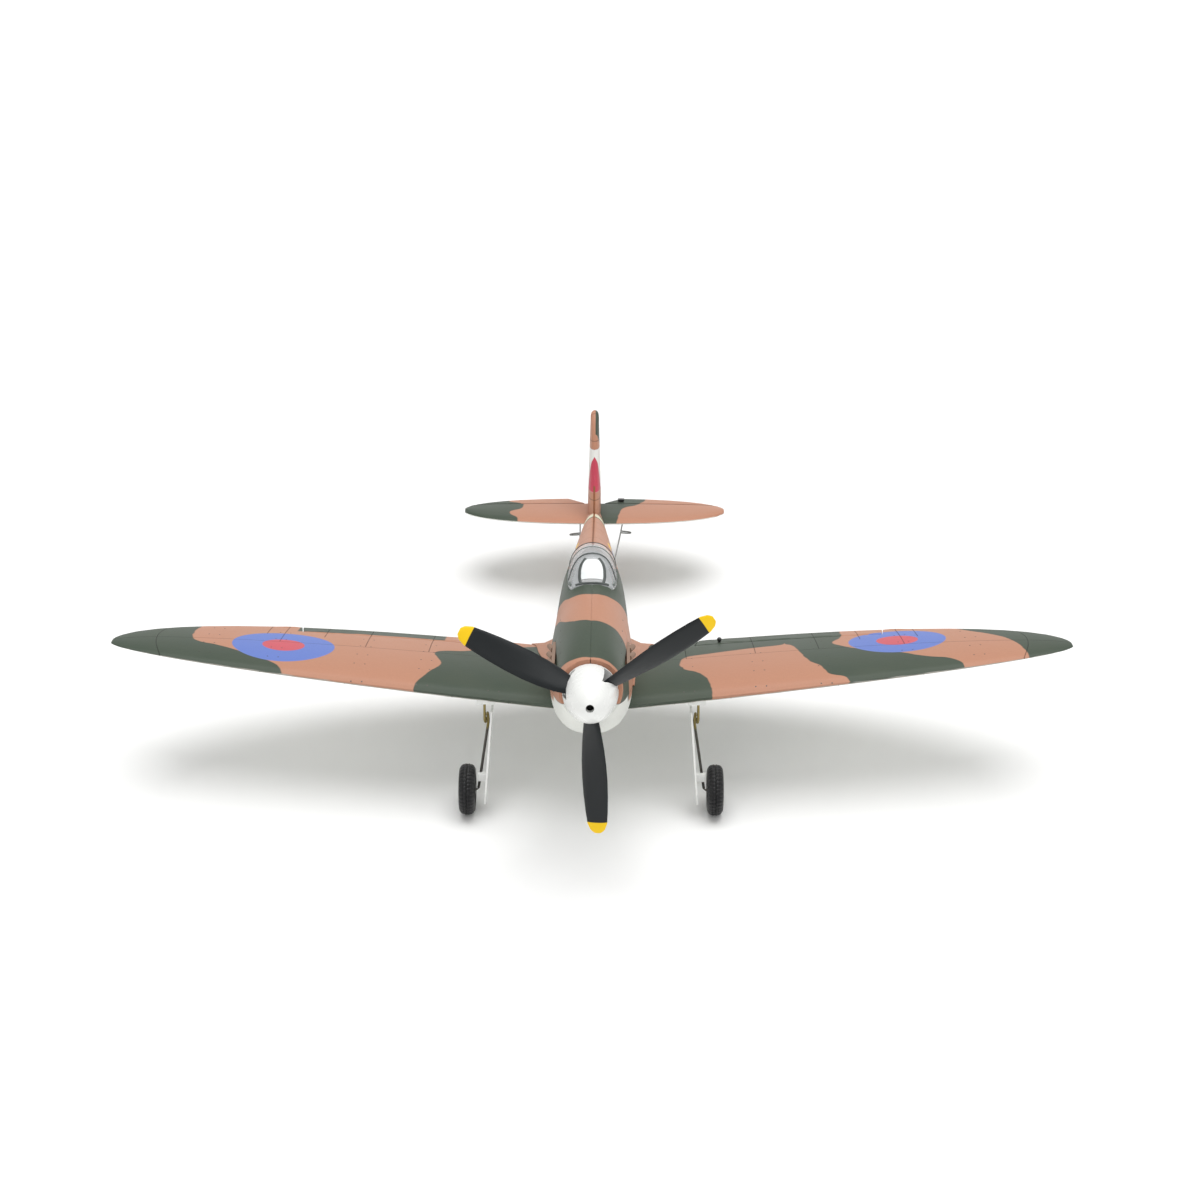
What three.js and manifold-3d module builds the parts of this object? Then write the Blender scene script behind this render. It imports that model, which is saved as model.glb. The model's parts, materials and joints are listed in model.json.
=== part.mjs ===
// A ready-to-fly foam model of a single-engined 1940s fighter with an elliptical wing, 400 mm across.
//
// Every piece is drawn in the aircraft's own datum frame, in millimetres: +X is the aircraft's left wing,
// +Y runs aft from the tip of the spinner, +Z is up, and the propeller shaft lies on the Y axis.
// The outer group then tips the aircraft back on to its tail wheel, with the ground at z = 0.
import * as THREE from "three";
import { mergeVertices } from "three/addons/utils/BufferGeometryUtils.js";
import Module from "manifold-3d";

const wasm = await Module();
wasm.setup();

// ---------------------------------------------------------------- driving dimensions
const STANCE = 13; // degrees that the nose is up while the aircraft stands on its tail wheel
const GAP = 0.3; // between pieces that touch
const FOAM_WALL = 2.6;

const WING = {
  halfSpan: 200,
  rootChord: 90.5,
  lineY: 104.9, // the straight line that every wing section hangs on
  ahead: 0.27, // share of the chord ahead of that line
  rootZ: -24.4,
  flatHalf: 16, // the wing is flat this far out, then rises
  dihedral: 6.08,
  rootIncidence: 1.3,
  rootThickness: 0.115,
  tipThickness: 0.075,
  edge: 0.8, // thickness of the trailing edge
};
const AILERON = { inner: 45, outer: 125, innerChord: 15.5, outerChord: 12.5 };
const AILERON_LINK = { x: 55.5, servoY: 121, arm: 5.5 };
const STAB = { halfSpan: 63.5, leadY: 263.8, trailY: 316.4, hingeY: 301.6, z: 9.2, thickness: 3.6 };
const ELEVATOR_LINK = { x: 13, arm: 6, servoY: 148, servoArm: 5.2 };
const FIN = { topZ: 57.2, hingeY: 306.8, bottomZ: -5, thickness: 5.9 };
const RUDDER_LINK = { x: -7.2, z: 2.4, servoY: 128, servoArm: 6.2 };
const PROP = {
  y: 17.7,
  radius: 55.6,
  lowestBlade: 273.1, // degrees
  blades: 3,
  hubRadius: 5.2,
  hubLength: 7,
  rake: 1.2,
};
const SPINNER = {
  noseY: 0.6,
  baseY: 23,
  radius: 10.8,
  wall: 1.0,
  screwHole: 1.6,
  slotWide: 5.2,
  slotFrontY: 10.8,
};
const SHAFT_RADIUS = 1.0;
const MOTOR = { frontY: 29, bellLength: 12, radius: 9, baseLength: 2.4, wall: 0.9 };
const FIREWALL = { y: 44.4, thickness: 1.6 };
const BATTERY = { y: 50, length: 28, width: 16, height: 9, z: -8 };
const HATCH = { frontY: 48, rearY: 78.4, halfWidth: 9.6 };
const COCKPIT = { frontY: 111.4, rearY: 149, sillZ: 16.4 };
const CANOPY = { wall: 0.6 };
const WHEEL = { x: 51, y: 81.9, z: -60.7, radius: 10.6, width: 6.6, rim: 6.4, axle: 0.75, sides: 28 };
const LEG = { x: 43.2, topY: 90, coilZ: -32.2, coilRadius: 1.9, coilTurns: 1, wire: 0.6, kneeIn: 4.7 };
const DOOR = { x: 41.4, lean: 2.7, topZ: -28.4, bottomZ: -66, width: 12, thickness: 0.8, clipZ: -55 };
const TAIL_WHEEL = { y: 286, radius: 4.6, width: 3, wire: 0.6 };
const PUSHROD_WIRE = 0.35;

// ---------------------------------------------------------------- small helpers
const rad = THREE.MathUtils.degToRad;
const mix = THREE.MathUtils.lerp;
const V = (x, y, z) => new THREE.Vector3(x, y, z);

/** A closed surface through rings of equal length; the first and last ring are capped. */
function loft(rings) {
  const points = rings.flat();
  const n = rings[0].length;
  const index = [];
  for (let r = 0; r + 1 < rings.length; r++)
    for (let i = 0; i < n; i++) {
      const j = (i + 1) % n;
      const a = r * n + i, b = r * n + j, c = a + n, d = b + n;
      index.push(a, b, d, a, d, c);
    }
  const last = (rings.length - 1) * n;
  const flatten = (ring) => {
    const normal = V(0, 0, 0);
    ring.forEach((p, i) => normal.add(p.clone().cross(ring[(i + 1) % n])));
    const drop = ["x", "y", "z"].reduce((best, k) =>
      Math.abs(normal[k]) > Math.abs(normal[best]) ? k : best);
    const [u, w] = ["x", "y", "z"].filter((k) => k !== drop);
    return ring.map((p) => new THREE.Vector2(p[u], p[w]));
  };
  const cap = (ring, base, up) => {
    const flat = flatten(ring);
    const clockwise = THREE.ShapeUtils.isClockWise(flat);
    const faces = THREE.ShapeUtils.triangulateShape(clockwise ? flat.slice().reverse() : flat, []);
    const at = (i) => base + (clockwise ? n - 1 - i : i);
    for (const [a, b, c] of faces)
      if (up === clockwise) index.push(at(a), at(c), at(b));
      else index.push(at(a), at(b), at(c));
  };
  cap(rings[0], 0, false);
  cap(rings[rings.length - 1], last, true);
  const geometry = new THREE.BufferGeometry().setFromPoints(points);
  geometry.setIndex(index);
  return geometry;
}

/** A manifold-3d solid from a closed three.js geometry, turned to face outwards. */
function solid(geometry) {
  const bare = geometry.clone();
  bare.deleteAttribute("normal");
  bare.deleteAttribute("uv");
  const merged = mergeVertices(bare, 1e-4);
  const build = (triVerts) =>
    new wasm.Manifold(
      new wasm.Mesh({ numProp: 3, vertProperties: merged.attributes.position.array, triVerts }));
  const triVerts = new Uint32Array(merged.index.array);
  const made = build(triVerts);
  return made.volume() > 0 ? made : build(triVerts.reverse());
}

/** The three.js geometry of a manifold-3d solid. */
function geometryOf(made) {
  const mesh = made.getMesh();
  const geometry = new THREE.BufferGeometry();
  geometry.setAttribute("position", new THREE.BufferAttribute(mesh.vertProperties, 3));
  geometry.setIndex(new THREE.BufferAttribute(mesh.triVerts, 1));
  return geometry;
}

/** The mirror image across the aircraft's centre plane. */
function mirrored(made) {
  return solid(geometryOf(made).applyMatrix4(new THREE.Matrix4().makeScale(-1, 1, 1)));
}

const join = (first, ...rest) => rest.reduce((a, b) => a.add(b), first);
const cut = (first, ...rest) => rest.reduce((a, b) => a.subtract(b), first);

function box(x0, x1, y0, y1, z0, z1) {
  const geometry = new THREE.BoxGeometry(x1 - x0, y1 - y0, z1 - z0);
  return solid(geometry.translate((x0 + x1) / 2, (y0 + y1) / 2, (z0 + z1) / 2));
}

/** A round bar from a to b. */
function bar(a, b, radius, sides = 16, farRadius = radius) {
  const along = b.clone().sub(a);
  const geometry = new THREE.CylinderGeometry(farRadius, radius, along.length(), sides);
  const turn = new THREE.Quaternion().setFromUnitVectors(V(0, 1, 0), along.clone().normalize());
  return solid(geometry.applyQuaternion(turn).translate(...a.clone().add(b).multiplyScalar(0.5)));
}

/** A profile of [radius, y] points turned about the propeller shaft. */
function turned(profile, sides) {
  const points = profile.map(([r, y]) => new THREE.Vector2(r, y));
  return solid(new THREE.LatheGeometry(points, sides));
}

/** A wire bent along a list of points. */
function wire(points, radius, steps, tension = 0.5) {
  const circle = new THREE.Shape().absarc(0, 0, radius, 0, 2 * Math.PI);
  const curve = new THREE.CatmullRomCurve3(points, false, "catmullrom", tension);
  return solid(new THREE.ExtrudeGeometry(circle, {
    extrudePath: curve, steps, curveSegments: 3, bevelEnabled: false }));
}

/** A flat plate cut to an outline of [y, z] points, from x0 to x1. */
function plateYZ(outline, x0, x1) {
  const shape = new THREE.Shape(outline.map(([y, z]) => new THREE.Vector2(y, z)));
  const geometry = new THREE.ExtrudeGeometry(shape, { depth: x1 - x0, bevelEnabled: false });
  geometry.applyMatrix4(new THREE.Matrix4().set(0, 0, 1, x0, 1, 0, 0, 0, 0, 1, 0, 0, 0, 0, 0, 1));
  return solid(geometry);
}

/** Smooth values between the rows of a table whose first column is the position. */
function table(rows) {
  const columns = rows[0].length - 1;
  return (at) => {
    const last = rows.length - 1;
    let i = rows.findIndex((row, k) => k < last && at < rows[k + 1][0]);
    if (i < 0) i = last - 1;
    const [a, b] = [rows[i], rows[i + 1]];
    const before = rows[Math.max(i - 1, 0)];
    const after = rows[Math.min(i + 2, last)];
    const t = THREE.MathUtils.clamp((at - a[0]) / (b[0] - a[0]), 0, 1);
    const width = b[0] - a[0];
    return Array.from({ length: columns }, (_, k) => {
      const c = k + 1;
      const slopeA = (b[c] - before[c]) / (b[0] - before[0]);
      const slopeB = (after[c] - a[c]) / (after[0] - a[0]);
      const t2 = t * t, t3 = t2 * t;
      return (2 * t3 - 3 * t2 + 1) * a[c] + (t3 - 2 * t2 + t) * width * slopeA
        + (3 * t2 - 2 * t3) * b[c] + (t3 - t2) * width * slopeB;
    });
  };
}

// ---------------------------------------------------------------- fuselage
// y, half width, top, bottom, height of the widest point, roundness of the upper and of the lower half
const fuselageAt = table([
  [24.5, 12.3, 12.2, -12.6, 0.0, 2.0, 2.0],
  [28, 13.0, 13.1, -15.6, 0.0, 2.0, 2.1],
  [34, 13.8, 14.3, -19.8, -1.0, 2.05, 2.3],
  [42, 14.5, 15.4, -23.2, -3.0, 2.1, 2.5],
  [52, 15.6, 16.4, -26.0, -5.0, 2.1, 2.7],
  [64, 16.4, 17.3, -27.8, -7.0, 2.1, 2.9],
  [80, 16.9, 18.0, -29.1, -8.5, 2.15, 3.1],
  [100, 16.5, 18.5, -29.7, -9.0, 2.25, 3.0],
  [112, 15.6, 19.1, -29.8, -9.0, 2.6, 3.0],
  [125, 15.3, 23.5, -29.8, -8.0, 2.3, 3.0],
  [138, 14.9, 26.8, -29.6, -7.0, 2.1, 2.9],
  [150, 14.4, 27.0, -29.0, -6.0, 2.0, 2.7],
  [172, 12.8, 24.2, -26.4, -4.0, 1.95, 2.4],
  [200, 10.6, 20.8, -21.4, -1.0, 1.9, 2.1],
  [235, 8.0, 17.4, -14.8, 1.0, 1.9, 2.0],
  [262, 5.9, 15.0, -10.2, 2.5, 1.9, 2.0],
  [285, 4.3, 13.3, -7.2, 3.0, 1.9, 2.0],
  [306.2, 2.7, 12.0, -5.2, 3.5, 1.9, 2.0],
]);
const TAIL_POST_Y = 306.2;

/** One ring of the fuselage, drawn in by inset all round. */
function fuselageRing(y, inset, around = 26) {
  const [half, top, bottom, middle, roundUp, roundDown] = fuselageAt(y);
  return Array.from({ length: around }, (_, i) => {
    const a = (2 * Math.PI * (i + 0.5)) / around - Math.PI / 2;
    const [c, s] = [Math.cos(a), Math.sin(a)];
    const round = 2 / (s >= 0 ? roundUp : roundDown);
    const height = s >= 0 ? top - middle : middle - bottom;
    return V(
      Math.sign(c) * Math.abs(c) ** round * (half - inset), y,
      middle + Math.sign(s) * Math.abs(s) ** round * (height - inset));
  });
}

const COWL_FRONT_Y = 24.5;
const ringYs = [COWL_FRONT_Y, 27.5, 32, 38, 46, 56, 68, 82, 96, 107, 114, 122, 132, 142, 151, 163, 178,
  196, 215, 234, 252, 270, 288, TAIL_POST_Y];
const fuselageOuter = solid(loft(ringYs.map((y) => fuselageRing(y, 0))));
const hollowYs = ringYs.filter((y) => y > COWL_FRONT_Y + 0.5 && y < 255);
const fuselageInner = solid(loft(hollowYs.map((y) => fuselageRing(y, FOAM_WALL))));

// ---------------------------------------------------------------- wing
const aerofoil = (s) =>
  5 * (0.2969 * Math.sqrt(s) - 0.126 * s - 0.3516 * s ** 2 + 0.2843 * s ** 3 - 0.1036 * s ** 4);
const camber = (s) => 0.08 * s * (1 - s);

/** The closed outline of an aerofoil: [share of chord, height over chord] points. */
function aerofoilRing(thickness, edgeShare, count = 10) {
  const shares = Array.from({ length: count + 1 }, (_, i) => (1 - Math.cos((Math.PI * i) / count)) / 2);
  const half = (s) => aerofoil(s) * thickness + (edgeShare / 2) * s;
  const upper = shares.map((s) => [s, camber(s) * 0.5 + half(s)]);
  const lower = shares.slice(1).map((s) => [s, camber(s) * 0.5 - half(s)]);
  return [...upper.reverse(), ...lower];
}

const wingRise = (x) => Math.max(0, x - WING.flatHalf) * Math.tan(rad(WING.dihedral));
const wingChord = (x) => WING.rootChord * Math.sqrt(Math.max(0, 1 - (x / WING.halfSpan) ** 2));

/** The wing's section at x, grown by swell all round. */
function wingRing(x, swell = 0) {
  const share = x / WING.halfSpan;
  const chord = wingChord(x) + 2 * swell;
  const thickness = mix(WING.rootThickness, WING.tipThickness, share);
  const incidence = rad(WING.rootIncidence * (1 - share));
  return aerofoilRing(thickness, WING.edge / chord).map(([s, h]) => {
    const along = (s - WING.ahead) * chord;
    const up = h * chord + Math.sign(h) * swell;
    return V(x, WING.lineY + along * Math.cos(incidence) + up * Math.sin(incidence),
      WING.rootZ + wingRise(x) + up * Math.cos(incidence) - along * Math.sin(incidence));
  });
}

const spanShares = [
  0.1, 0.18, 0.27, 0.36, 0.45, 0.54, 0.625, 0.7, 0.77, 0.83, 0.88, 0.925, 0.96, 0.985, 0.998,
];
const spanXs = [GAP / 2, WING.flatHalf, ...spanShares.map((s) => s * WING.halfSpan)];
const wingBlank = solid(loft(spanXs.map((x) => wingRing(x))));
const wingSeat = solid(loft([-40, -WING.flatHalf, WING.flatHalf, 40].map((x) => {
  const ring = wingRing(Math.abs(x), GAP);
  return ring.map((p) => V(x, p.y, p.z));
})));

/** A point on the wing's mid surface. */
function wingPoint(x, share) {
  const incidence = rad(WING.rootIncidence * (1 - x / WING.halfSpan));
  const along = (share - WING.ahead) * wingChord(x);
  const up = camber(share) * 0.5 * wingChord(x);
  return V(x, WING.lineY + along, WING.rootZ + wingRise(x) + up - along * Math.tan(incidence));
}

const aileronInner = wingPoint(AILERON.inner, 1 - AILERON.innerChord / wingChord(AILERON.inner));
const aileronOuter = wingPoint(AILERON.outer, 1 - AILERON.outerChord / wingChord(AILERON.outer));

/**
 * A prism along a hinge from a to b. Its section is a list of [aft, up] points, measured from the hinge.
 * Up is the direction given, squared to the hinge.
 */
function hingePrism(a, b, section, up, early = 0, late = 0) {
  const along = b.clone().sub(a).normalize();
  const aft = along.clone().cross(up).normalize();
  if (aft.y < 0) aft.negate();
  const square = aft.clone().cross(along).normalize();
  if (square.dot(up) < 0) square.negate();
  const ring = (origin) =>
    section.map(([p, q]) => origin.clone().addScaledVector(aft, p).addScaledVector(square, q));
  return solid(loft([
    ring(a.clone().addScaledVector(along, -early)), ring(b.clone().addScaledVector(along, late))]));
}

const HINGE_GAP = 0.45; // between the fixed surface and the hinge line
const BEVEL = Math.tan(rad(36)); // the moving surface's front slopes back this steeply
const REACH = 60;
const TALL = 9;
const HINGE_EDGE = 0.1; // from the hinge line to the moving surface
const veeTop = HINGE_EDGE + TALL * BEVEL;
const vee = [[HINGE_EDGE, 0], [veeTop, TALL], [REACH, TALL], [REACH, -TALL], [veeTop, -TALL]];
const slot = [[-HINGE_GAP, TALL], [REACH, TALL], [REACH, -TALL], [-HINGE_GAP, -TALL]];

const UP = V(0, 0, 1);
const aileronSlot = hingePrism(aileronInner, aileronOuter, slot, UP, GAP, GAP);
const aileronBody = hingePrism(aileronInner, aileronOuter, vee, UP, -GAP / 2, -GAP / 2);

// the wing servo lies in a pocket that is open below, with its arm hanging out
const wingServo = (() => {
  const { x, servoY, arm } = AILERON_LINK;
  const pivotZ = WING.rootZ + wingRise(x) - 1.6;
  return { pivot: V(x, servoY, pivotZ), tipZ: pivotZ - arm,
    body: { x0: x + 0.9, x1: x + 9.4, y0: servoY - 5, y1: servoY + 11, z0: pivotZ - 2.6, z1: pivotZ + 3.2 } };
})();
const aileronAxisAt = (x) =>
  aileronInner.clone().lerp(aileronOuter, (x - aileronInner.x) / (aileronOuter.x - aileronInner.x));
const aileronHornEye = aileronAxisAt(AILERON_LINK.x).add(V(0, 0, -AILERON_LINK.arm));

function servoPocket() {
  const b = wingServo.body;
  return box(b.x0 - 2.6, b.x1 + GAP, b.y0 - GAP, b.y1 + GAP, b.z0 - 12, b.z1 + GAP);
}

// spar, and the slot that the gear leg plugs into
const SPAR = { radius: 1.0, halfLength: 41 };
const spar = bar(V(-SPAR.halfLength, WING.lineY, WING.rootZ), V(SPAR.halfLength, WING.lineY, WING.rootZ),
  SPAR.radius, 10);
const sparHole = bar(V(-SPAR.halfLength - GAP, WING.lineY, WING.rootZ),
  V(SPAR.halfLength + GAP, WING.lineY, WING.rootZ), SPAR.radius + GAP, 10);

const COIL_PITCH = 2 * LEG.wire + GAP;
const GEAR_MOUNT = { width: 7.4, length: 12, thickness: 3.4, proud: 0.3, plug: 2.4 };
const mountSeatZ = wingRing(LEG.x).filter((p) => Math.abs(p.y - LEG.topY) < 9)
  .reduce((low, p) => Math.min(low, p.z), 0) + GEAR_MOUNT.thickness - GEAR_MOUNT.proud;
const mountFootZ = mountSeatZ - GEAR_MOUNT.thickness;
function gearMount() {
  const y = LEG.topY - LEG.coilRadius;
  const x = LEG.x + COIL_PITCH * LEG.coilTurns / 2;
  return cut(gearMountBlock(0), bar(V(x, y, mountFootZ - 1), V(x, y, mountFootZ + GEAR_MOUNT.plug + GAP),
    LEG.wire + GAP, 10));
}
function gearMountBlock(grow) {
  const { width, length, thickness } = GEAR_MOUNT;
  return box(LEG.x - width / 2 - grow, LEG.x + width / 2 + grow, LEG.topY - length / 2 - grow,
    LEG.topY + length / 2 + grow, mountSeatZ - thickness - 6 * grow, mountSeatZ + grow);
}

// ---------------------------------------------------------------- tailplane and elevator
const stabChord = (x) => {
  const share = Math.min(1, Math.abs(x) / STAB.halfSpan);
  return Math.sqrt(Math.max(0, 1 - share ** 2.4));
};
const stabLineY = mix(STAB.leadY, STAB.trailY, 0.52);
function stabRing(x, swell = 0) {
  const k = stabChord(x);
  const lead = stabLineY - (stabLineY - STAB.leadY) * k - swell;
  const trail = stabLineY + (STAB.trailY - stabLineY) * k + swell;
  const chord = trail - lead;
  const thick = (STAB.thickness * (0.35 + 0.65 * k)) / chord;
  return aerofoilRing(thick, 0.9 / chord, 7).map(([s, h]) => {
    const flat = h - camber(s) * 0.5;
    return V(x, lead + s * chord, STAB.z + flat * chord + Math.sign(flat) * swell);
  });
}
const stabShares = [0, 0.2, 0.4, 0.58, 0.72, 0.83, 0.91, 0.965, 0.995];
const stabXs = [...stabShares.slice(1).reverse().map((s) => -s), ...stabShares].map((s) => s * STAB.halfSpan);
const stabBlank = solid(loft(stabXs.map((x) => stabRing(x))));
const stabSeat = solid(loft([-14, 14].map((x) => stabRing(0, GAP).map((p) => V(x, p.y, p.z)))));
const stabEnd = STAB.halfSpan + 2;
const elevatorA = V(-stabEnd, STAB.hingeY, STAB.z);
const elevatorB = V(stabEnd, STAB.hingeY, STAB.z);
const elevatorSlot = hingePrism(elevatorA, elevatorB, slot, UP);
const elevatorBody = hingePrism(elevatorA, elevatorB, vee, UP);

// the cut-out that the rudder swings in, as a wedge on the centre line
const ELEVATOR_INNER = 4.6;
const ELEVATOR_INNER_AFT = 11.8;
const rudderRoom = solid(loft([STAB.z - 8, STAB.z + 8].map((z) => [
  V(-ELEVATOR_INNER, STAB.hingeY - 2, z), V(ELEVATOR_INNER, STAB.hingeY - 2, z),
  V(ELEVATOR_INNER, STAB.hingeY, z), V(ELEVATOR_INNER_AFT + 4, STAB.trailY + 4, z),
  V(-ELEVATOR_INNER_AFT - 4, STAB.trailY + 4, z), V(-ELEVATOR_INNER, STAB.hingeY, z)])));

// the joiner turns in the sternpost and has an arm in each half
const JOINER = { radius: 0.5, armX: 8.4, armLength: 5.2 };
function joinerShape(grow) {
  const r = JOINER.radius + grow;
  const end = JOINER.armX + grow;
  const across = bar(V(-end, STAB.hingeY, STAB.z), V(end, STAB.hingeY, STAB.z), r, 8);
  const arm = (side) => bar(V(side * JOINER.armX, STAB.hingeY - r * 0.6, STAB.z),
    V(side * JOINER.armX, STAB.hingeY + JOINER.armLength + grow, STAB.z), r * 0.98, 8);
  return join(across, arm(1), arm(-1));
}

// ---------------------------------------------------------------- fin and rudder
// z, leading edge, trailing edge
const finAt = table([
  [FIN.bottomZ, 300, 317.5],
  [2, 296, 322.4],
  [12, 258, 324.9],
  [24, 268.5, 324.2],
  [36, 277.5, 320.9],
  [46, 285, 315.6],
  [53, 291.5, 309.4],
  [FIN.topZ - 0.8, 296.6, 304.4],
  [FIN.topZ, 299.4, 301.6],
]);
const FIN_CROWN = 1.8; // height over which the top is rounded
/** The fin's section at a height, swollen for a seat. */
function finRing(z, swell = 0) {
  const [lead, trail] = finAt(z);
  const chord = trail - lead + 2 * swell;
  const crown = Math.max(0, 1 - (FIN.topZ - z) / FIN_CROWN);
  const fade = Math.min(1, 0.6 + ((FIN.topZ - z) / 34) * 0.4) * Math.sqrt(1 - (0.95 * crown) ** 2);
  return aerofoilRing((FIN.thickness * fade) / chord, 0.9 / chord, 7).map(([s, h]) => {
    const flat = h - camber(s) * 0.5;
    return V(flat * chord + Math.sign(flat) * swell, lead - swell + s * chord, z);
  });
}
const finZs = [
  FIN.bottomZ, 2, 7, 12, 18, 26, 34, 41, 47, 51.5,
  FIN.topZ - FIN_CROWN, FIN.topZ - 0.8, FIN.topZ - 0.3, FIN.topZ,
];
const finBlank = solid(loft(finZs.map((z) => finRing(z)).map((ring) => ring.reverse())));
const finFootZ = STAB.z + STAB.thickness / 2 + 1.0;
const finFootRing = finRing(finFootZ, GAP).map((p) => V(p.x, p.y, finFootZ - GAP));
const finSeatRings = [finFootRing, ...[finFootZ, 18, 26].map((z) => finRing(z, GAP))];
const finSeat = solid(loft(finSeatRings.map((ring) => ring.reverse())));
const rudderA = V(0, FIN.hingeY, FIN.bottomZ - 4);
const rudderB = V(0, FIN.hingeY, FIN.topZ + 4);
const SIDE = V(1, 0, 0);
const rudderSlot = hingePrism(rudderA, rudderB, slot, SIDE);
const rudderBody = hingePrism(rudderA, rudderB, vee, SIDE);

// ---------------------------------------------------------------- pushrods
const HORN = { thickness: 1.1, ball: 1.05 };
// from the middle of an arm to the rod beside it
const BESIDE = HORN.thickness / 2 + PUSHROD_WIRE + GAP + 0.15;
/**
 * The line that a pushrod slides along, from the eye of its servo arm to the eye of its horn.
 * The rod lies beside both: servoSide and hornSide lead from either eye to the middle of the rod.
 */
function rodLine(servo, horn, servoSide, hornSide) {
  const [a, b] = [servo.clone().add(servoSide), horn.clone().add(hornSide)];
  const along = b.clone().sub(a).normalize();
  const at = (y) => a.clone().addScaledVector(along, (y - a.y) / along.y);
  return { servo, horn, servoSide, hornSide, a, b, along, at };
}
const elevatorEye = V(ELEVATOR_LINK.x, STAB.hingeY, STAB.z - ELEVATOR_LINK.arm);
const elevatorServoEye = V(2.6, ELEVATOR_LINK.servoY, -8.2);
const elevatorRod = rodLine(elevatorServoEye, elevatorEye, V(BESIDE, 0, 0), V(BESIDE, 0, 0));
const rudderEye = V(RUDDER_LINK.x, FIN.hingeY, RUDDER_LINK.z);
const rudderServoEye = V(-4.2, RUDDER_LINK.servoY, -8.2);
const rudderRod = rodLine(rudderServoEye, rudderEye, V(-BESIDE, 0, 0), V(0, 0, -BESIDE));
const aileronServoEye = V(wingServo.pivot.x, wingServo.pivot.y, wingServo.tipZ);
const aileronRod = rodLine(aileronServoEye, aileronHornEye, V(-BESIDE, 0, 0), V(-BESIDE, 0, 0));

const LOOP = { length: 4.4, width: 2.6 };
const ROD_ROOM = 0.9; // round a pushrod where it passes through the foam
/** A pushrod with a bent end in each arm and, where loopY is given, a loop that sets its length. */
function pushrod(line, side, loopY) {
  const r = PUSHROD_WIRE;
  const overlap = line.along.clone().multiplyScalar(r * 0.9);
  const pin = (eye, offset) => bar(eye.clone().sub(offset), eye.clone().add(offset), r, 6);
  const straight = (from, to) => bar(from.clone().sub(overlap), to.clone().add(overlap), r, 6);
  const ends = [pin(line.servo, line.servoSide), pin(line.horn, line.hornSide)];
  if (loopY === undefined) return join(straight(line.a, line.b), ...ends);
  const near = line.at(loopY - LOOP.width / 2);
  const far = line.at(loopY + LOOP.width / 2);
  const outer = V(side * LOOP.length, 0, -0.4);
  const [nearOut, farOut] = [near.clone().add(outer), far.clone().add(outer)];
  const bend = [near, near.clone().addScaledVector(outer, 0.55), nearOut.clone().lerp(farOut, 0.18),
    nearOut.clone().lerp(farOut, 0.5).addScaledVector(outer, 0.12), nearOut.clone().lerp(farOut, 0.82),
    far.clone().addScaledVector(outer, 0.55), far];
  return join(straight(line.a, near), straight(far, line.b), ...ends, wire(bend, r, 16));
}

/** The slot that a pushrod needs where it comes out through the fuselage side. */
const rodSlot = (line) => bar(line.at(176), line.at(296), PUSHROD_WIRE + ROD_ROOM, 10);

/** A servo or control arm: a rounded bar from the pivot to the eye, with a hole for the pushrod's end. */
const EYE_HOLE = PUSHROD_WIRE + 0.7;
function arm(pivot, eye, x0, x1, footX = x0, boss = 1.9, tip = 1.7) {
  const at = (p, x) => V(x, p.y, p.z);
  const across = eye.clone().sub(pivot).setX(0);
  const side = V(0, -across.z, across.y).normalize();
  const corners = [at(pivot, 0).addScaledVector(side, boss * 0.85), at(eye, 0).addScaledVector(side, tip * 0.9),
    at(eye, 0).addScaledVector(side, -tip * 0.9), at(pivot, 0).addScaledVector(side, -boss * 0.85)];
  const web = plateYZ(corners.map((p) => [p.y, p.z]), x0, x1);
  const hub = bar(at(pivot, Math.min(x0, footX)), at(pivot, Math.max(x1, footX)), boss, 14);
  const end = bar(at(eye, x0), at(eye, x1), tip, 14);
  return cut(join(hub, web, end), bar(at(eye, x0 - 1), at(eye, x1 + 1), EYE_HOLE, 12));
}

// ---------------------------------------------------------------- pieces of the airframe
/** The fairing that fills the corner between the wing's upper surface and the fuselage side, on the left. */
function rootFairing() {
  const FIRST = 92, LAST = 172, COUNT = 8;
  const rings = Array.from({ length: COUNT + 1 }, (_, i) => {
    const y = mix(FIRST, LAST, i / COUNT);
    const reach = mix(1.5, 15, (i / COUNT) ** 1.3);
    const [half] = fuselageAt(y);
    const share = (y - (WING.lineY - WING.ahead * WING.rootChord)) / WING.rootChord;
    const wingTop = wingPoint(WING.flatHalf, Math.min(share, 1)).z
      + (aerofoil(Math.min(share, 1)) * WING.rootThickness * WING.rootChord + WING.edge / 2);
    const arc = Array.from({ length: 5 }, (_, k) => {
      const a = (Math.PI / 2) * (k / 4);
      const x = half - 0.6 + reach * (1 - Math.sin(a));
      return V(x, y, wingTop + wingRise(x) * 0.9 + reach * (1 - Math.cos(a)) * 0.85 + GAP * 0.5);
    });
    const corner = V(half - 3, y, wingTop - 1);
    return [...arc, V(half - 3, y, arc[4].z), corner, V(half + reach - 0.6, y, wingTop - 1)];
  });
  return solid(loft(rings));
}

const hatchCutter = (grow) => box(-HATCH.halfWidth - grow, HATCH.halfWidth + grow,
  HATCH.frontY - grow, HATCH.rearY + grow, -40, -12);
const belowWing = box(-60, 60, 78, 178, -45, WING.rootZ);
const SHAFT_HOLE = 10.2;
const cockpitRoom = box(-20, 20, COCKPIT.frontY - GAP, COCKPIT.rearY + GAP, COCKPIT.sillZ, 40);
const cockpitWell = box(-8.4 - GAP, 8.4 + GAP, COCKPIT.frontY + 3 - GAP, COCKPIT.rearY - 1 + GAP, 6, 40);

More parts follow.
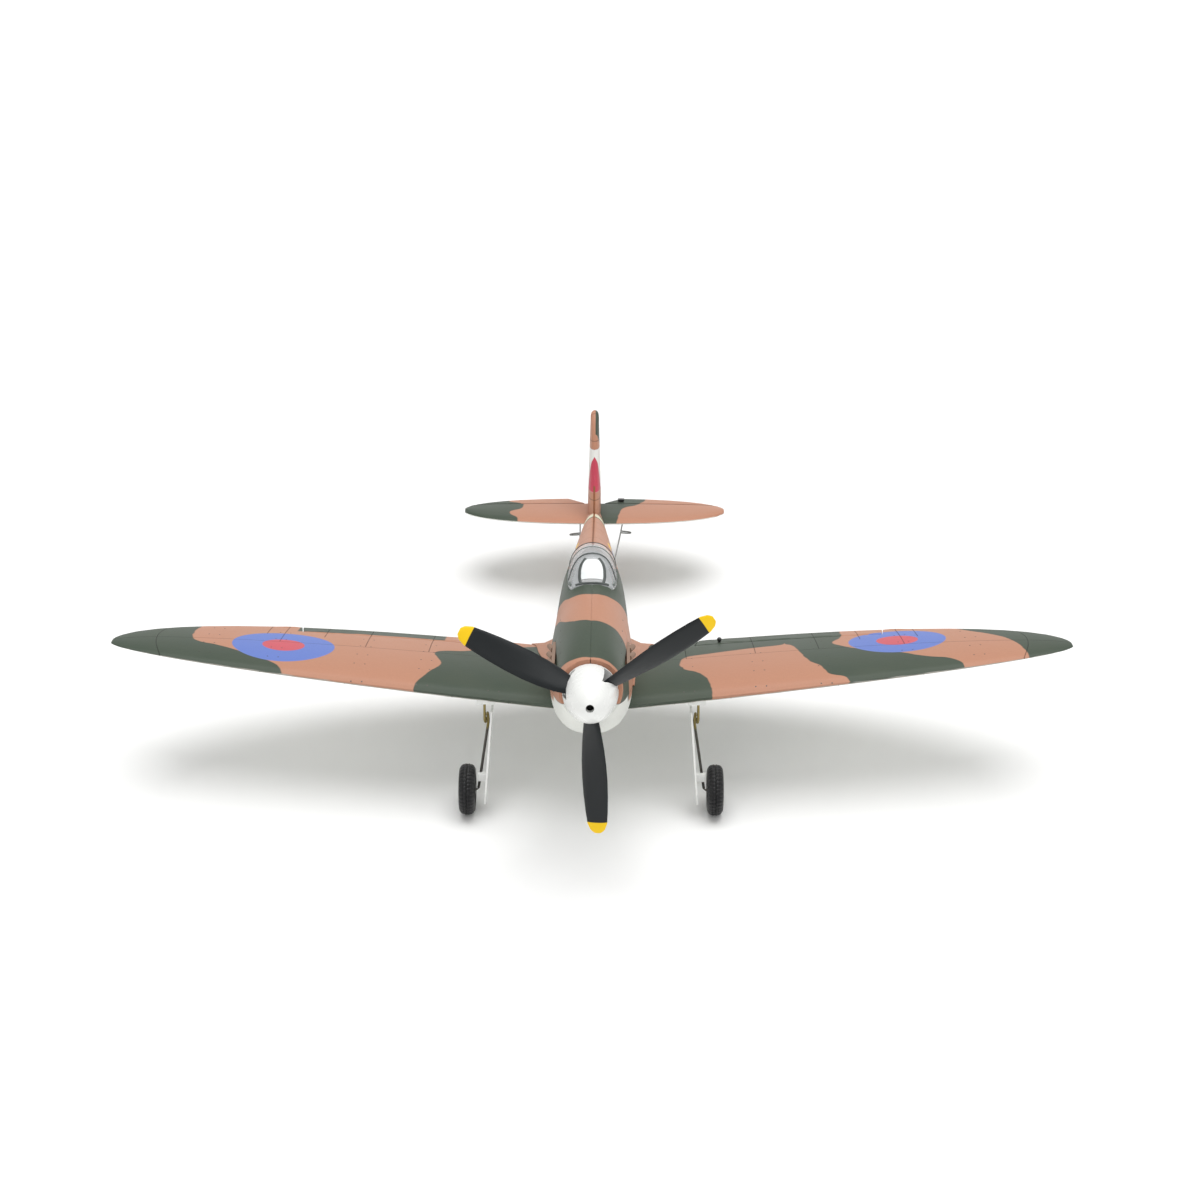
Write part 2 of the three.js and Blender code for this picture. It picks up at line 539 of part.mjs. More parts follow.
/** The exhaust stacks are pressed into the cowl's side, three to a side. */
const EXHAUST = { ys: [45.5, 55.5, 66.5], z: 4, height: 3, out: 0.9 };
function exhaustStacks() {
  const [half] = fuselageAt(EXHAUST.ys[1]);
  const back = box(half - 1.8, half - 0.5, EXHAUST.ys[0] - 3.4, EXHAUST.ys[2] + 5.4,
    EXHAUST.z - EXHAUST.height / 2, EXHAUST.z + EXHAUST.height / 2);
  const stacks = EXHAUST.ys.map((y) => bar(V(half - 1, y - 1, EXHAUST.z),
    V(half + EXHAUST.out, y + 3.4, EXHAUST.z + 0.3), 1.35, 8, 1.1));
  return join(back, ...stacks);
}
const exhaustRoom = (() => {
  const [half] = fuselageAt(EXHAUST.ys[1]);
  return box(half - 2.1 - GAP, half + 6, EXHAUST.ys[0] - 3.4 - GAP, EXHAUST.ys[2] + 5.4 + GAP,
    EXHAUST.z - EXHAUST.height / 2 - GAP, EXHAUST.z + EXHAUST.height / 2 + GAP);
})();

const tailStrutTop = V(0, TAIL_WHEEL.y - 4, -3.5);
const strutHole = bar(V(0, tailStrutTop.y, -14), V(0, tailStrutTop.y, tailStrutTop.z + GAP),
  TAIL_WHEEL.wire + GAP, 8);

function fuselageHalf(side) {
  const half = box(side > 0 ? GAP / 2 : -60, side > 0 ? 60 : -GAP / 2, 10, 330, -60, 60);
  const fairing = side > 0 ? rootFairing() : mirrored(rootFairing());
  const shell = cut(fuselageOuter, fuselageInner).add(fairing).intersect(half);
  const noseHole = bar(V(0, 20, 0), V(0, 30, 0), SHAFT_HOLE, 28);
  const crossHole = bar(V(-9, STAB.hingeY, STAB.z), V(9, STAB.hingeY, STAB.z), JOINER.radius + 0.4, 10);
  return cut(shell, noseHole, wingSeat, belowWing, hatchCutter(GAP), cockpitRoom, cockpitWell, stabSeat,
    finSeat, crossHole, strutHole, rodSlot(side > 0 ? elevatorRod : rudderRod),
    side > 0 ? exhaustRoom : mirrored(exhaustRoom));
}

function wingPanel() {
  return cut(wingBlank, aileronSlot, servoPocket(), sparHole, gearMountBlock(GAP));
}

/** The aileron's horn: a blade below it, a post through it and a round stop on top. */
function aileronHorn() {
  const { x } = AILERON_LINK;
  const axis = aileronAxisAt(x);
  const eye = aileronHornEye;
  const [x0, x1] = [x - HORN.thickness / 2, x + HORN.thickness / 2];
  const foot = axis.z - 2.1;
  const blade = plateYZ([[eye.y - 1.6, eye.z + 0.2], [eye.y - 0.9, eye.z - 1.4], [eye.y + 1, eye.z - 1.5],
    [axis.y + 8, foot], [axis.y + 3.2, foot]], x0, x1);
  const post = bar(V(x, axis.y + 5, foot - 1), V(x, axis.y + 5, axis.z + 2.4), 0.55, 8);
  const stop = solid(new THREE.SphereGeometry(HORN.ball, 12, 8).translate(x, axis.y + 5, axis.z + 2.7));
  return cut(join(blade, post, stop), bar(V(x0 - 1, eye.y, eye.z), V(x1 + 1, eye.y, eye.z), EYE_HOLE, 12));
}
function aileronPanel() {
  const { x } = AILERON_LINK;
  const axis = aileronAxisAt(x);
  const hole = bar(V(x, axis.y + 5, axis.z - 8), V(x, axis.y + 5, axis.z + 8), 0.55 + GAP, 8);
  return cut(wingBlank.intersect(aileronBody), hole);
}

/** The elevator's horn: a blade below the left half, and its clamp on top. */
function elevatorHorn() {
  const { x } = ELEVATOR_LINK;
  const eye = elevatorEye;
  const [x0, x1] = [x - HORN.thickness / 2, x + HORN.thickness / 2];
  const foot = STAB.z - 1.75;
  const blade = plateYZ([[eye.y - 1.5, eye.z], [eye.y - 0.7, eye.z - 1.5], [eye.y + 1, eye.z - 1.4],
    [eye.y + 8, foot], [eye.y + 3, foot]], x0, x1);
  const post = bar(V(x, eye.y + 5, foot - 1), V(x, eye.y + 5, STAB.z + 2.2), 0.55, 8);
  const clamp = box(x - 1.5, x + 1.5, eye.y + 3.4, eye.y + 6.6, STAB.z + 1.5, STAB.z + 2.5);
  return cut(join(blade, post, clamp), bar(V(x0 - 1, eye.y, eye.z), V(x1 + 1, eye.y, eye.z), EYE_HOLE, 12));
}
function elevatorHalf(side) {
  const half = side > 0 ? box(0, 80, 290, 330, -10, 30) : box(-80, 0, 290, 330, -10, 30);
  const blank = cut(stabBlank.intersect(elevatorBody).intersect(half), rudderRoom, joinerShape(GAP));
  if (side < 0) return blank;
  const at = V(ELEVATOR_LINK.x, STAB.hingeY + 5, 0);
  return cut(blank, bar(V(at.x, at.y, -10), V(at.x, at.y, 30), 0.55 + GAP, 8));
}

/** The rudder's horn: a blade through the rudder, sticking out to the right. */
function rudderHorn() {
  const [z0, z1] = [RUDDER_LINK.z - 0.55, RUDDER_LINK.z + 0.55];
  const eye = rudderEye;
  const outline = [[eye.x - 1.4, eye.y - 1], [eye.x - 0.6, eye.y - 1.6], [eye.x + 1.2, eye.y - 1.5],
    [-2.2, eye.y + 3], [2.3, eye.y + 3.4], [2.3, eye.y + 7], [-2.2, eye.y + 7.4], [eye.x - 1.3, eye.y + 1.4]];
  const shape = new THREE.Shape(outline.map(([x, y]) => new THREE.Vector2(x, y)));
  const blade = solid(new THREE.ExtrudeGeometry(shape, { depth: z1 - z0, bevelEnabled: false })
    .translate(0, 0, z0));
  return cut(blade, bar(V(eye.x, eye.y, z0 - 1), V(eye.x, eye.y, z1 + 1), EYE_HOLE, 12));
}
function rudderPanel() {
  const slotFrontY = rudderEye.y + 1.4; // far enough forward to clear the blade's slanting edge
  const hornSlot = box(-6, 6, slotFrontY, rudderEye.y + 7.4 + GAP,
    RUDDER_LINK.z - HORN.thickness / 2 - GAP, RUDDER_LINK.z + HORN.thickness / 2 + GAP);
  return cut(finBlank.intersect(rudderBody), hornSlot);
}
function finPanel() {
  const above = box(-20, 20, 240, 330, finFootZ, 80);
  return cut(finBlank.intersect(above), rudderSlot);
}

// ---------------------------------------------------------------- canopy and cockpit
// y, half width at the sill, height of the top
const canopyAt = table([
  [COCKPIT.frontY, 8.9, 18.6],
  [116, 9.9, 24.4],
  [121, 10.3, 28.4],
  [127, 10.5, 29.6],
  [137, 10.4, 29.6],
  [144, 10.2, 28.8],
  [COCKPIT.rearY, 9.9, 27.6],
]);
function canopyRing(y, inset, floor) {
  const [half, top] = canopyAt(y);
  const arc = Array.from({ length: 13 }, (_, i) => {
    const a = (Math.PI * i) / 12;
    const [c, s] = [Math.cos(a), Math.sin(a)];
    return V(Math.sign(c) * Math.abs(c) ** 0.9 * (half - inset), y,
      floor + Math.abs(s) ** 1.05 * (top - inset - floor));
  });
  return arc;
}
function canopyShell() {
  const ys = [COCKPIT.frontY, 113.6, 116, 118.5, 121, 124, 127, 132, 137, 141, 145, COCKPIT.rearY];
  const seat = COCKPIT.sillZ + GAP;
  const outer = solid(loft(ys.map((y) => canopyRing(y, 0, seat))));
  const innerYs = ys.map((y, i) => (i === 0 ? y + 1.1 : i === ys.length - 1 ? y - CANOPY.wall : y));
  const inner = solid(loft(innerYs.map((y) => canopyRing(y, CANOPY.wall, seat - 1))));
  return cut(outer, inner);
}
/** A shallow tub with a seat and an instrument panel. */
function cockpitTub() {
  const { frontY, rearY, sillZ } = COCKPIT;
  const [y0, y1] = [frontY + 3, rearY - 1];
  const tub = cut(box(-8.4, 8.4, y0, y1, 6.4, sillZ - 0.2), box(-7.2, 7.2, y0 + 1.2, y1 - 1.2, 7.6, 40));
  const panel = box(-7.8, 7.8, y0 + 2, y0 + 3.2, 7, 18.4);
  const seatBack = box(-4.4, 4.4, y1 - 10, y1 - 8.8, 7, 19.2);
  const seatPan = box(-4.4, 4.4, y1 - 17, y1 - 9, 7, 9.4);
  return join(tub, panel, seatBack, seatPan);
}

// ---------------------------------------------------------------- propeller, spinner and motor
// share of the radius, chord, pitch angle in degrees, thickness
const bladeAt = table([
  [0.07, 6.0, 58, 3.8],
  [0.16, 8.6, 55, 3.0],
  [0.25, 10.9, 50, 2.5],
  [0.4, 12.0, 42, 2.0],
  [0.55, 11.6, 33, 1.7],
  [0.7, 10.5, 25, 1.4],
  [0.85, 8.9, 17, 1.2],
  [0.93, 7.8, 13, 1.1],
  [0.98, 5.4, 11, 0.9],
  [1.0, 2.6, 11, 0.7],
]);
function bladeShape() {
  const shares = [0.07, 0.16, 0.25, 0.36, 0.48, 0.6, 0.72, 0.84, 0.93, 0.975, 1];
  const rings = shares.map((share) => {
    const [chord, pitch, thickness] = bladeAt(share);
    const a = rad(pitch);
    return Array.from({ length: 10 }, (_, i) => {
      const t = (2 * Math.PI * i) / 10;
      const [along, off] = [(Math.cos(t) * chord) / 2, (Math.sin(t) * thickness) / 2];
      return V(along * Math.cos(a) - off * Math.sin(a),
        PROP.y - PROP.rake * Math.sin(Math.PI * share) + along * Math.sin(a) + off * Math.cos(a),
        share * PROP.radius);
    });
  });
  return loft(rings);
}
function bladeAngles() {
  return Array.from({ length: PROP.blades }, (_, k) => rad(PROP.lowestBlade - 90 + (360 * k) / PROP.blades));
}
function propeller() {
  const hubHalf = PROP.hubLength / 2;
  const hub = bar(V(0, PROP.y - hubHalf, 0), V(0, PROP.y + hubHalf, 0), PROP.hubRadius, 20);
  const blades = bladeAngles().map((a) => solid(bladeShape().applyMatrix4(
    new THREE.Matrix4().makeRotationY(-a))));
  const hole = bar(V(0, 0, 0), V(0, 40, 0), SHAFT_RADIUS + GAP, 16);
  return cut(join(hub, ...blades), hole);
}

const spinnerRadiusAt = (y) => {
  const share = (SPINNER.baseY - y) / (SPINNER.baseY - SPINNER.noseY);
  return SPINNER.radius * Math.sqrt(Math.max(0, 1 - share ** 2.05));
};
function spinnerShell() {
  const count = 9;
  const outside = Array.from({ length: count + 1 }, (_, i) => {
    const y = mix(SPINNER.noseY, SPINNER.baseY, (i / count) ** 1.35);
    return [Math.max(spinnerRadiusAt(y), i === 0 ? SPINNER.screwHole : 0), y];
  });
  const inside = outside.slice(2).map(([r, y]) => [r - SPINNER.wall, y]).reverse();
  const nose = [[SPINNER.screwHole, outside[2][1]]];
  const profile = [...outside, ...inside, ...nose, [SPINNER.screwHole, SPINNER.noseY]];
  const shell = turned(profile, 32);
  const { slotWide, slotFrontY } = SPINNER;
  const outline = [[-slotWide, SPINNER.baseY + 1], [-slotWide + 1.1, slotFrontY], [-slotWide + 1.9, slotFrontY],
    [slotWide, SPINNER.baseY - 2.4], [slotWide, SPINNER.baseY + 1]];
  const gaps = bladeAngles().map((a) => {
    const shape = new THREE.Shape(outline.map(([x, y]) => new THREE.Vector2(x, y)));
    const wedge = new THREE.ExtrudeGeometry(shape, { depth: 16, bevelEnabled: false }).translate(0, 0, 4);
    return solid(wedge.applyMatrix4(new THREE.Matrix4().makeRotationY(-a)));
  });
  return cut(shell, ...gaps);
}
const BACKPLATE_Y = SPINNER.baseY + GAP;
const backplate = cut(bar(V(0, BACKPLATE_Y, 0), V(0, COWL_FRONT_Y - GAP, 0), SPINNER.radius - 0.2, 32),
  bar(V(0, 0, 0), V(0, 40, 0), SHAFT_RADIUS + GAP, 16));
const propShaft = bar(V(0, 10.6, 0), V(0, MOTOR.frontY + MOTOR.bellLength + 2, 0), SHAFT_RADIUS, 16);
const SCREW = { headRadius: 2.4, tipY: 10.3 };
const propScrew = cut(bar(V(0, 8.2, 0), V(0, SCREW.tipY, 0), SCREW.headRadius, 16),
  box(-0.35, 0.35, 7, 9, -1.5, 1.5), box(-1.5, 1.5, 7, 9, -0.35, 0.35));

function motorBell() {
  const { frontY, bellLength, radius, wall } = MOTOR;
  const back = frontY + bellLength;
  return cut(turned([[SHAFT_RADIUS + GAP, frontY - 2], [3, frontY - 2], [3, frontY], [radius - 1, frontY],
    [radius, frontY + 1], [radius, back], [radius - wall, back], [radius - wall, frontY + 1.4],
    [SHAFT_RADIUS + GAP, frontY + 1.4], [SHAFT_RADIUS + GAP, frontY - 2]], 28),
  ...[0, 1, 2, 3].map((k) => {
    const a = rad(45 + 90 * k);
    return bar(V(5.3 * Math.cos(a), frontY - 1, 5.3 * Math.sin(a)),
      V(5.3 * Math.cos(a), frontY + 3, 5.3 * Math.sin(a)), 1.5, 10);
  }));
}
/** The stator: nine wound poles on a bearing tube that stands on the motor's base plate. */
function motorStator() {
  const { frontY, bellLength, radius, wall, baseLength } = MOTOR;
  const back = frontY + bellLength;
  const tube = bar(V(0, frontY + 2.2, 0), V(0, back + 1, 0), 2.6, 18);
  const base = bar(V(0, back + 0.6, 0), V(0, back + 0.6 + baseLength, 0), 7.6, 24);
  const poles = Array.from({ length: 9 }, (_, k) => {
    const a = (2 * Math.PI * k) / 9;
    const reach = radius - wall - 0.4;
    const spoke = box(-1.1, 1.1, frontY + 3, back - 1.4, 1, reach);
    const shoe = box(-2.1, 2.1, frontY + 3, back - 1.4, reach - 1.3, reach - 0.1);
    return solid(geometryOf(join(spoke, shoe)).applyMatrix4(new THREE.Matrix4().makeRotationY(a)));
  });
  return cut(join(tube, base, ...poles), bar(V(0, 20, 0), V(0, 60, 0), SHAFT_RADIUS + GAP, 16));
}
function firewall() {
  const { y, thickness } = FIREWALL;
  const rings = [y, y + thickness].map((at) => fuselageRing(at, FOAM_WALL + GAP + 0.1));
  return cut(solid(loft(rings)), bar(V(0, y - 1, 0), V(0, y + 3, 0), 2.4, 14));
}

// ---------------------------------------------------------------- radio gear
function servoBlock(x0, x1, y0, z0, length = 16, height = 11.5) {
  const body = box(x0, x1, y0, y0 + length, z0, z0 + height);
  const ears = box(x0 + 1, x1 - 1, y0 - 1.8, y0 + length + 1.8, z0 + height - 3.6, z0 + height - 2.4);
  return join(body, ears);
}
const TRAY = { z: -17.6, thickness: 1 };
const TRAY_ROOM = 0.25; // from the tray's edge to the foam
const trayEdge = solid(loft(hollowYs.map((y) => fuselageRing(y, FOAM_WALL + TRAY_ROOM))));
const tray = box(-9, 9, 84, 163, TRAY.z, TRAY.z + TRAY.thickness).intersect(trayEdge);
const radioFloor = TRAY.z + TRAY.thickness + GAP;
const elevatorServo = servoBlock(-4.8, 1, 141, radioFloor);
const rudderServo = servoBlock(-2.6, 3.4, 118, radioFloor);
const receiver = join(box(-8, 8, 88, 112, radioFloor, radioFloor + 1.2),
  box(-5, 3, 91, 100, radioFloor + 1, radioFloor + 3),
  box(-7.5, 7.5, 107, 111.5, radioFloor + 1, radioFloor + 5));
const battery = join(box(-BATTERY.width / 2, BATTERY.width / 2, BATTERY.y, BATTERY.y + BATTERY.length,
  BATTERY.z - BATTERY.height, BATTERY.z), box(-5, 5, BATTERY.y + BATTERY.length - 0.5,
  BATTERY.y + BATTERY.length + 1.6, BATTERY.z - 7, BATTERY.z - 2));
function hatchShell() {
  const shell = cut(fuselageOuter, fuselageInner).intersect(hatchCutter(0));
  const hook = box(-2, 2, HATCH.frontY, HATCH.frontY + 4, hatchBottomZ - 0.8, hatchBottomZ + 1);
  return join(shell, hook);
}
const hatchBottomZ = fuselageAt(HATCH.frontY)[2];
const hatchHinge = V(0, HATCH.frontY, hatchBottomZ - 0.4);

const elevatorServoPivot = elevatorServoEye.clone().setZ(elevatorServoEye.z - ELEVATOR_LINK.servoArm);
const rudderServoPivot = rudderServoEye.clone().setZ(rudderServoEye.z - RUDDER_LINK.servoArm);

// ---------------------------------------------------------------- undercarriage
const axleZ = WHEEL.z;
const COLLAR = { from: 1.7, to: 3.6, radius: 1.7 };
/** The helix of the leg's spring, wound inwards from the plug; a is the angle wound so far. */
const coilPoint = (a) =>
  V(LEG.x + COIL_PITCH * (LEG.coilTurns / 2 - a / (2 * Math.PI)),
    LEG.topY - LEG.coilRadius * Math.cos(a), LEG.coilZ - LEG.coilRadius * Math.sin(a));
const winding = (from, to) => {
  const count = Math.round((to - from) / 0.52);
  return Array.from({ length: count + 1 }, (_, i) => coilPoint(mix(from, to, i / count)));
};
const COIL_BREAK = 0.25; // radians left open either side of where the leg turns on its spring
/** The part of the leg that is pressed into the wing, with the first half of its spring. */
function legRoot() {
  const start = coilPoint(0);
  const plug = [V(start.x, start.y, mountFootZ + GEAR_MOUNT.plug), V(start.x, start.y, mountFootZ - 0.6),
    V(start.x, start.y, LEG.coilZ + 1.2)];
  return wire([...plug, ...winding(0, Math.PI * LEG.coilTurns - COIL_BREAK)], LEG.wire, 22);
}
/** The straight part of the leg, from just under the spring to just above the axle. */
function legLine() {
  const ankle = coilPoint(2 * Math.PI * LEG.coilTurns).add(V(0, 0, -1.4));
  return { ankle, knee: V(WHEEL.x - LEG.kneeIn, WHEEL.y + 0.3, axleZ + 1.4) };
}
/** The sprung part: the rest of the spring, the leg, the axle and the collar on its end. */
function gearLeg() {
  const turns = winding(Math.PI * LEG.coilTurns + COIL_BREAK, 2 * Math.PI * LEG.coilTurns);
  const { ankle, knee } = legLine();
  const elbow = [V(WHEEL.x - LEG.kneeIn + 0.7, WHEEL.y, axleZ), V(WHEEL.x - 2, WHEEL.y, axleZ),
    V(WHEEL.x + COLLAR.to, WHEEL.y, axleZ)];
  const path = [...turns, ankle.clone().lerp(knee, 0.02), ankle.clone().lerp(knee, 0.5), knee, ...elbow];
  const collarAt = (out) => V(WHEEL.x + out, WHEEL.y, axleZ);
  const end = bar(collarAt(COLLAR.from), collarAt(COLLAR.to), COLLAR.radius, 12);
  return join(wire(path, LEG.wire, 44), end);
}
/** The door: a thin plate beside the leg, with the block that clips it on to the leg. */
function gearDoor() {
  const { x, lean, topZ, bottomZ, width, thickness } = DOOR;
  const y = (z) => mix(LEG.topY, WHEEL.y, (z - LEG.coilZ) / (axleZ - LEG.coilZ));
  const half = width / 2;
  const outline = [[y(topZ) - half, topZ], [y(topZ) + half, topZ], [y(bottomZ) + half * 0.62, bottomZ + 5],
    [y(bottomZ) + half * 0.35, bottomZ], [y(bottomZ) - half * 0.35, bottomZ],
    [y(bottomZ) - half * 0.62, bottomZ + 5]];
  const plate = geometryOf(plateYZ(outline, x - thickness, x));
  const slope = lean / (topZ - bottomZ);
  plate.applyMatrix4(new THREE.Matrix4().set(1, 0, -slope, slope * topZ, 0, 1, 0, 0, 0, 0, 1, 0, 0, 0, 0, 1));
  const { clipZ } = DOOR;
  const face = x + slope * (topZ - clipZ);
  const clip = box(face - 0.4, face + 3.4, y(clipZ) - 3.8, y(clipZ) + 0.4, clipZ - 1.5, clipZ + 1.5);
  const { ankle, knee } = legLine();
  return cut(join(solid(plate), clip), bar(ankle, knee, LEG.wire + GAP + 0.1, 10));
}
/** The tyre: a ribbed tread with one facet flat on the ground in the standing attitude. */
function tyre() {
  const { radius, width, rim, sides } = WHEEL;
  const w = width / 2;
  const flat = radius / Math.cos(Math.PI / sides);
  const profile = [[rim, -w + 0.5], [rim + 1.4, -w], [flat - 1.9, -w + 0.5], [flat - 0.5, -w + 1.6],
    [flat, -0.9], [flat, 0.9], [flat - 0.5, w - 1.6], [flat - 1.9, w - 0.5], [rim + 1.4, w], [rim, w - 0.5],
    [rim, -w + 0.5]];
  const points = profile.map(([r, y]) => new THREE.Vector2(r, y));
  const geometry = new THREE.LatheGeometry(points, sides, Math.PI / sides).rotateZ(-Math.PI / 2);
  return solid(geometry.rotateX(rad(STANCE)).translate(WHEEL.x, WHEEL.y, WHEEL.z));
}
function hub() {
  const { rim, width, axle } = WHEEL;
  const r = rim - GAP;
  const w = width / 2 - 0.5;
  const face = COLLAR.from - GAP;
  const profile = [[axle + 0.15, -w - 0.5], [2.2, -w - 0.5], [2.2, -w + 1.2], [r - 1, -w + 1.2], [r - 0.4, -w],
    [r, -w], [r, w], [r - 0.4, w], [r - 1, face], [axle + 0.15, face], [axle + 0.15, -w - 0.5]];
  const points = profile.map(([a, y]) => new THREE.Vector2(a, y));
  return solid(new THREE.LatheGeometry(points, 24).rotateZ(-Math.PI / 2).translate(WHEEL.x, WHEEL.y, WHEEL.z));
}

const groundZ = (y) => WHEEL.z - WHEEL.radius / Math.cos(rad(STANCE))
  + (y - WHEEL.y) * Math.tan(rad(STANCE));
const tailAxle = V(0, TAIL_WHEEL.y, groundZ(TAIL_WHEEL.y) + TAIL_WHEEL.radius / Math.cos(rad(STANCE)));
function tailWheel() {
  const { radius, width } = TAIL_WHEEL;
  const sides = 20, w = width / 2;
  const flat = radius / Math.cos(Math.PI / sides);
  const bore = TAIL_WHEEL.wire + 0.15;
  const profile = [[bore, -w], [flat - 0.9, -w], [flat, -w + 0.8], [flat, w - 0.8], [flat - 0.9, w],
    [bore, w], [bore, -w]];
  const points = profile.map(([r, y]) => new THREE.Vector2(r, y));
  const geometry = new THREE.LatheGeometry(points, sides, Math.PI / sides).rotateZ(-Math.PI / 2);
  return solid(geometry.rotateX(rad(STANCE)).translate(...tailAxle));
}
/** The tail strut: one wire that comes down beside the wheel and turns in to be its axle. */
function tailStrut() {
  const side = TAIL_WHEEL.width / 2 + 1.3;
  const path = [
    V(0, tailStrutTop.y, tailStrutTop.z), V(0, tailStrutTop.y, -10.5), V(0.2, tailStrutTop.y + 0.4, -11.6),
    V(side - 0.3, tailAxle.y - 1.4, tailAxle.z + 6), V(side, tailAxle.y - 0.7, tailAxle.z + 3),
    V(side, tailAxle.y, tailAxle.z + 0.7), V(side - 0.8, tailAxle.y, tailAxle.z),
    V(-TAIL_WHEEL.width / 2 - 1, tailAxle.y, tailAxle.z),
  ];
  return wire(path, TAIL_WHEEL.wire, 40, 0.35);
}

// ---------------------------------------------------------------- assembly
const PAINT = {
  camo: [0x9a7560, 0.62, 0], foam: [0xe6e8e2, 0.7, 0], white: [0xf2f2ee, 0.35, 0], black: [0x1c1f22, 0.45, 0],
  rubber: [0x141414, 0.8, 0], steel: [0x8f8f8a, 0.3, 1], brassy: [0xa39a6a, 0.35, 1],
  clear: [0xcfd6d8, 0.08, 0],
  carbon: [0x222222, 0.5, 0], copper: [0xb06a3a, 0.4, 1], alloy: [0xb8bcc0, 0.35, 1], ply: [0xc9a673, 0.7, 0],
  blue: [0x2b4f9c, 0.5, 0], green: [0x1f6b3a, 0.5, 0], grey: [0x4b4f52, 0.55, 0],
};
const paint = (key) => {
  const [color, roughness, metalness] = PAINT[key];
  return new THREE.MeshStandardMaterial({ color, roughness, metalness });
};
const aircraft = new THREE.Group();
const body = () => aircraft.add(new THREE.Group()).children.at(-1);
const put = (group, name, made, key) => {
  const mesh = new THREE.Mesh(geometryOf(made), paint(key));
  mesh.name = name;
  group.add(mesh);
};
/** Puts a piece and its mirror image, named _left and _right. */
const putPair = (groups, name, made, key) => {
  put(groups[0], name + "_left", made, key);
  put(groups[1], name + "_right", mirrored(made), key);
};

const airframe = body();
put(airframe, "fuselage_left", fuselageHalf(1), "camo");
put(airframe, "fuselage_right", fuselageHalf(-1), "camo");
putPair([airframe, airframe], "wing", wingPanel(), "camo");
put(airframe, "wing_spar", spar, "carbon");
put(airframe, "stabilizer", cut(stabBlank, elevatorSlot, joinerShape(GAP)), "camo");
put(airframe, "fin", finPanel(), "camo");
put(airframe, "canopy", canopyShell(), "clear");
put(airframe, "cockpit_tub", cockpitTub(), "grey");
putPair([airframe, airframe], "exhaust_stacks", exhaustStacks(), "grey");
put(airframe, "firewall", firewall(), "ply");
put(airframe, "motor_stator", motorStator(), "copper");
put(airframe, "battery", battery, "blue");
put(airframe, "radio_tray", tray, "ply");
put(airframe, "receiver", receiver, "green");
put(airframe, "elevator_servo", elevatorServo, "blue");
put(airframe, "rudder_servo", rudderServo, "blue");
const ws = wingServo.body;
putPair([airframe, airframe], "aileron_servo", box(ws.x0, ws.x1, ws.y0, ws.y1, ws.z0, ws.z1), "blue");
putPair([airframe, airframe], "gear_mount", gearMount(), "white");
put(body(), "tail_strut", tailStrut(), "steel");

const spinning = body();
put(spinning, "spinner", spinnerShell(), "white");
put(spinning, "spinner_backplate", backplate, "white");
put(spinning, "propeller", propeller(), "black");
put(spinning, "prop_screw", propScrew, "steel");
put(spinning, "prop_shaft", propShaft, "steel");
put(spinning, "motor_bell", motorBell(), "alloy");

const elevator = body();
put(elevator, "elevator_left", elevatorHalf(1), "camo");
put(elevator, "elevator_right", elevatorHalf(-1), "camo");
put(elevator, "elevator_joiner", joinerShape(0), "steel");
put(elevator, "elevator_horn", elevatorHorn(), "black");
put(body(), "elevator_pushrod", pushrod(elevatorRod, 1, 279), "steel");
put(body(), "elevator_servo_arm", arm(elevatorServoPivot, elevatorServoEye, 2.05, 3.15, 1 + GAP), "white");

const rudder = body();
put(rudder, "rudder", rudderPanel(), "camo");
put(rudder, "rudder_horn", rudderHorn(), "black");
put(body(), "rudder_pushrod", pushrod(rudderRod, -1, 282), "steel");
put(body(), "rudder_servo_arm", arm(rudderServoPivot, rudderServoEye, -4.75, -3.65, -2.6 - GAP), "white");

const ailerons = [body(), body()];
putPair(ailerons, "aileron", aileronPanel(), "camo");
putPair(ailerons, "aileron_horn", aileronHorn(), "black");
putPair([body(), body()], "aileron_pushrod", pushrod(aileronRod, -1), "steel");
const { pivot: wingPivot, tipZ: wingArmZ } = wingServo;
putPair([body(), body()], "aileron_servo_arm",
  arm(wingPivot, V(0, wingPivot.y, wingArmZ), wingPivot.x - 0.5, wingPivot.x + 0.5), "white");

const legs = [body(), body()];
putPair([airframe, airframe], "gear_leg_root", legRoot(), "brassy");
putPair(legs, "gear_leg", gearLeg(), "brassy");
putPair(legs, "gear_door", gearDoor(), "white");
const wheels = [body(), body()];
putPair(wheels, "tyre", tyre(), "rubber");
putPair(wheels, "wheel_hub", hub(), "grey");
put(body(), "tail_wheel", tailWheel(), "rubber");
put(body(), "battery_hatch", hatchShell(), "foam");

// The outer group stands the aircraft on the ground, centred under its own box.
const standing = new THREE.Group();
standing.add(aircraft);
aircraft.rotation.x = -rad(STANCE);
standing.updateMatrixWorld(true);
const reach = new THREE.Box3().setFromObject(standing, true);
aircraft.position.set(0, -(reach.min.y + reach.max.y) / 2, -reach.min.z);
standing.updateMatrixWorld(true);

export default standing;
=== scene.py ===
import json
import math

import bmesh
import bpy
import numpy as np
from mathutils import Matrix, Vector
from mathutils.bvhtree import BVHTree


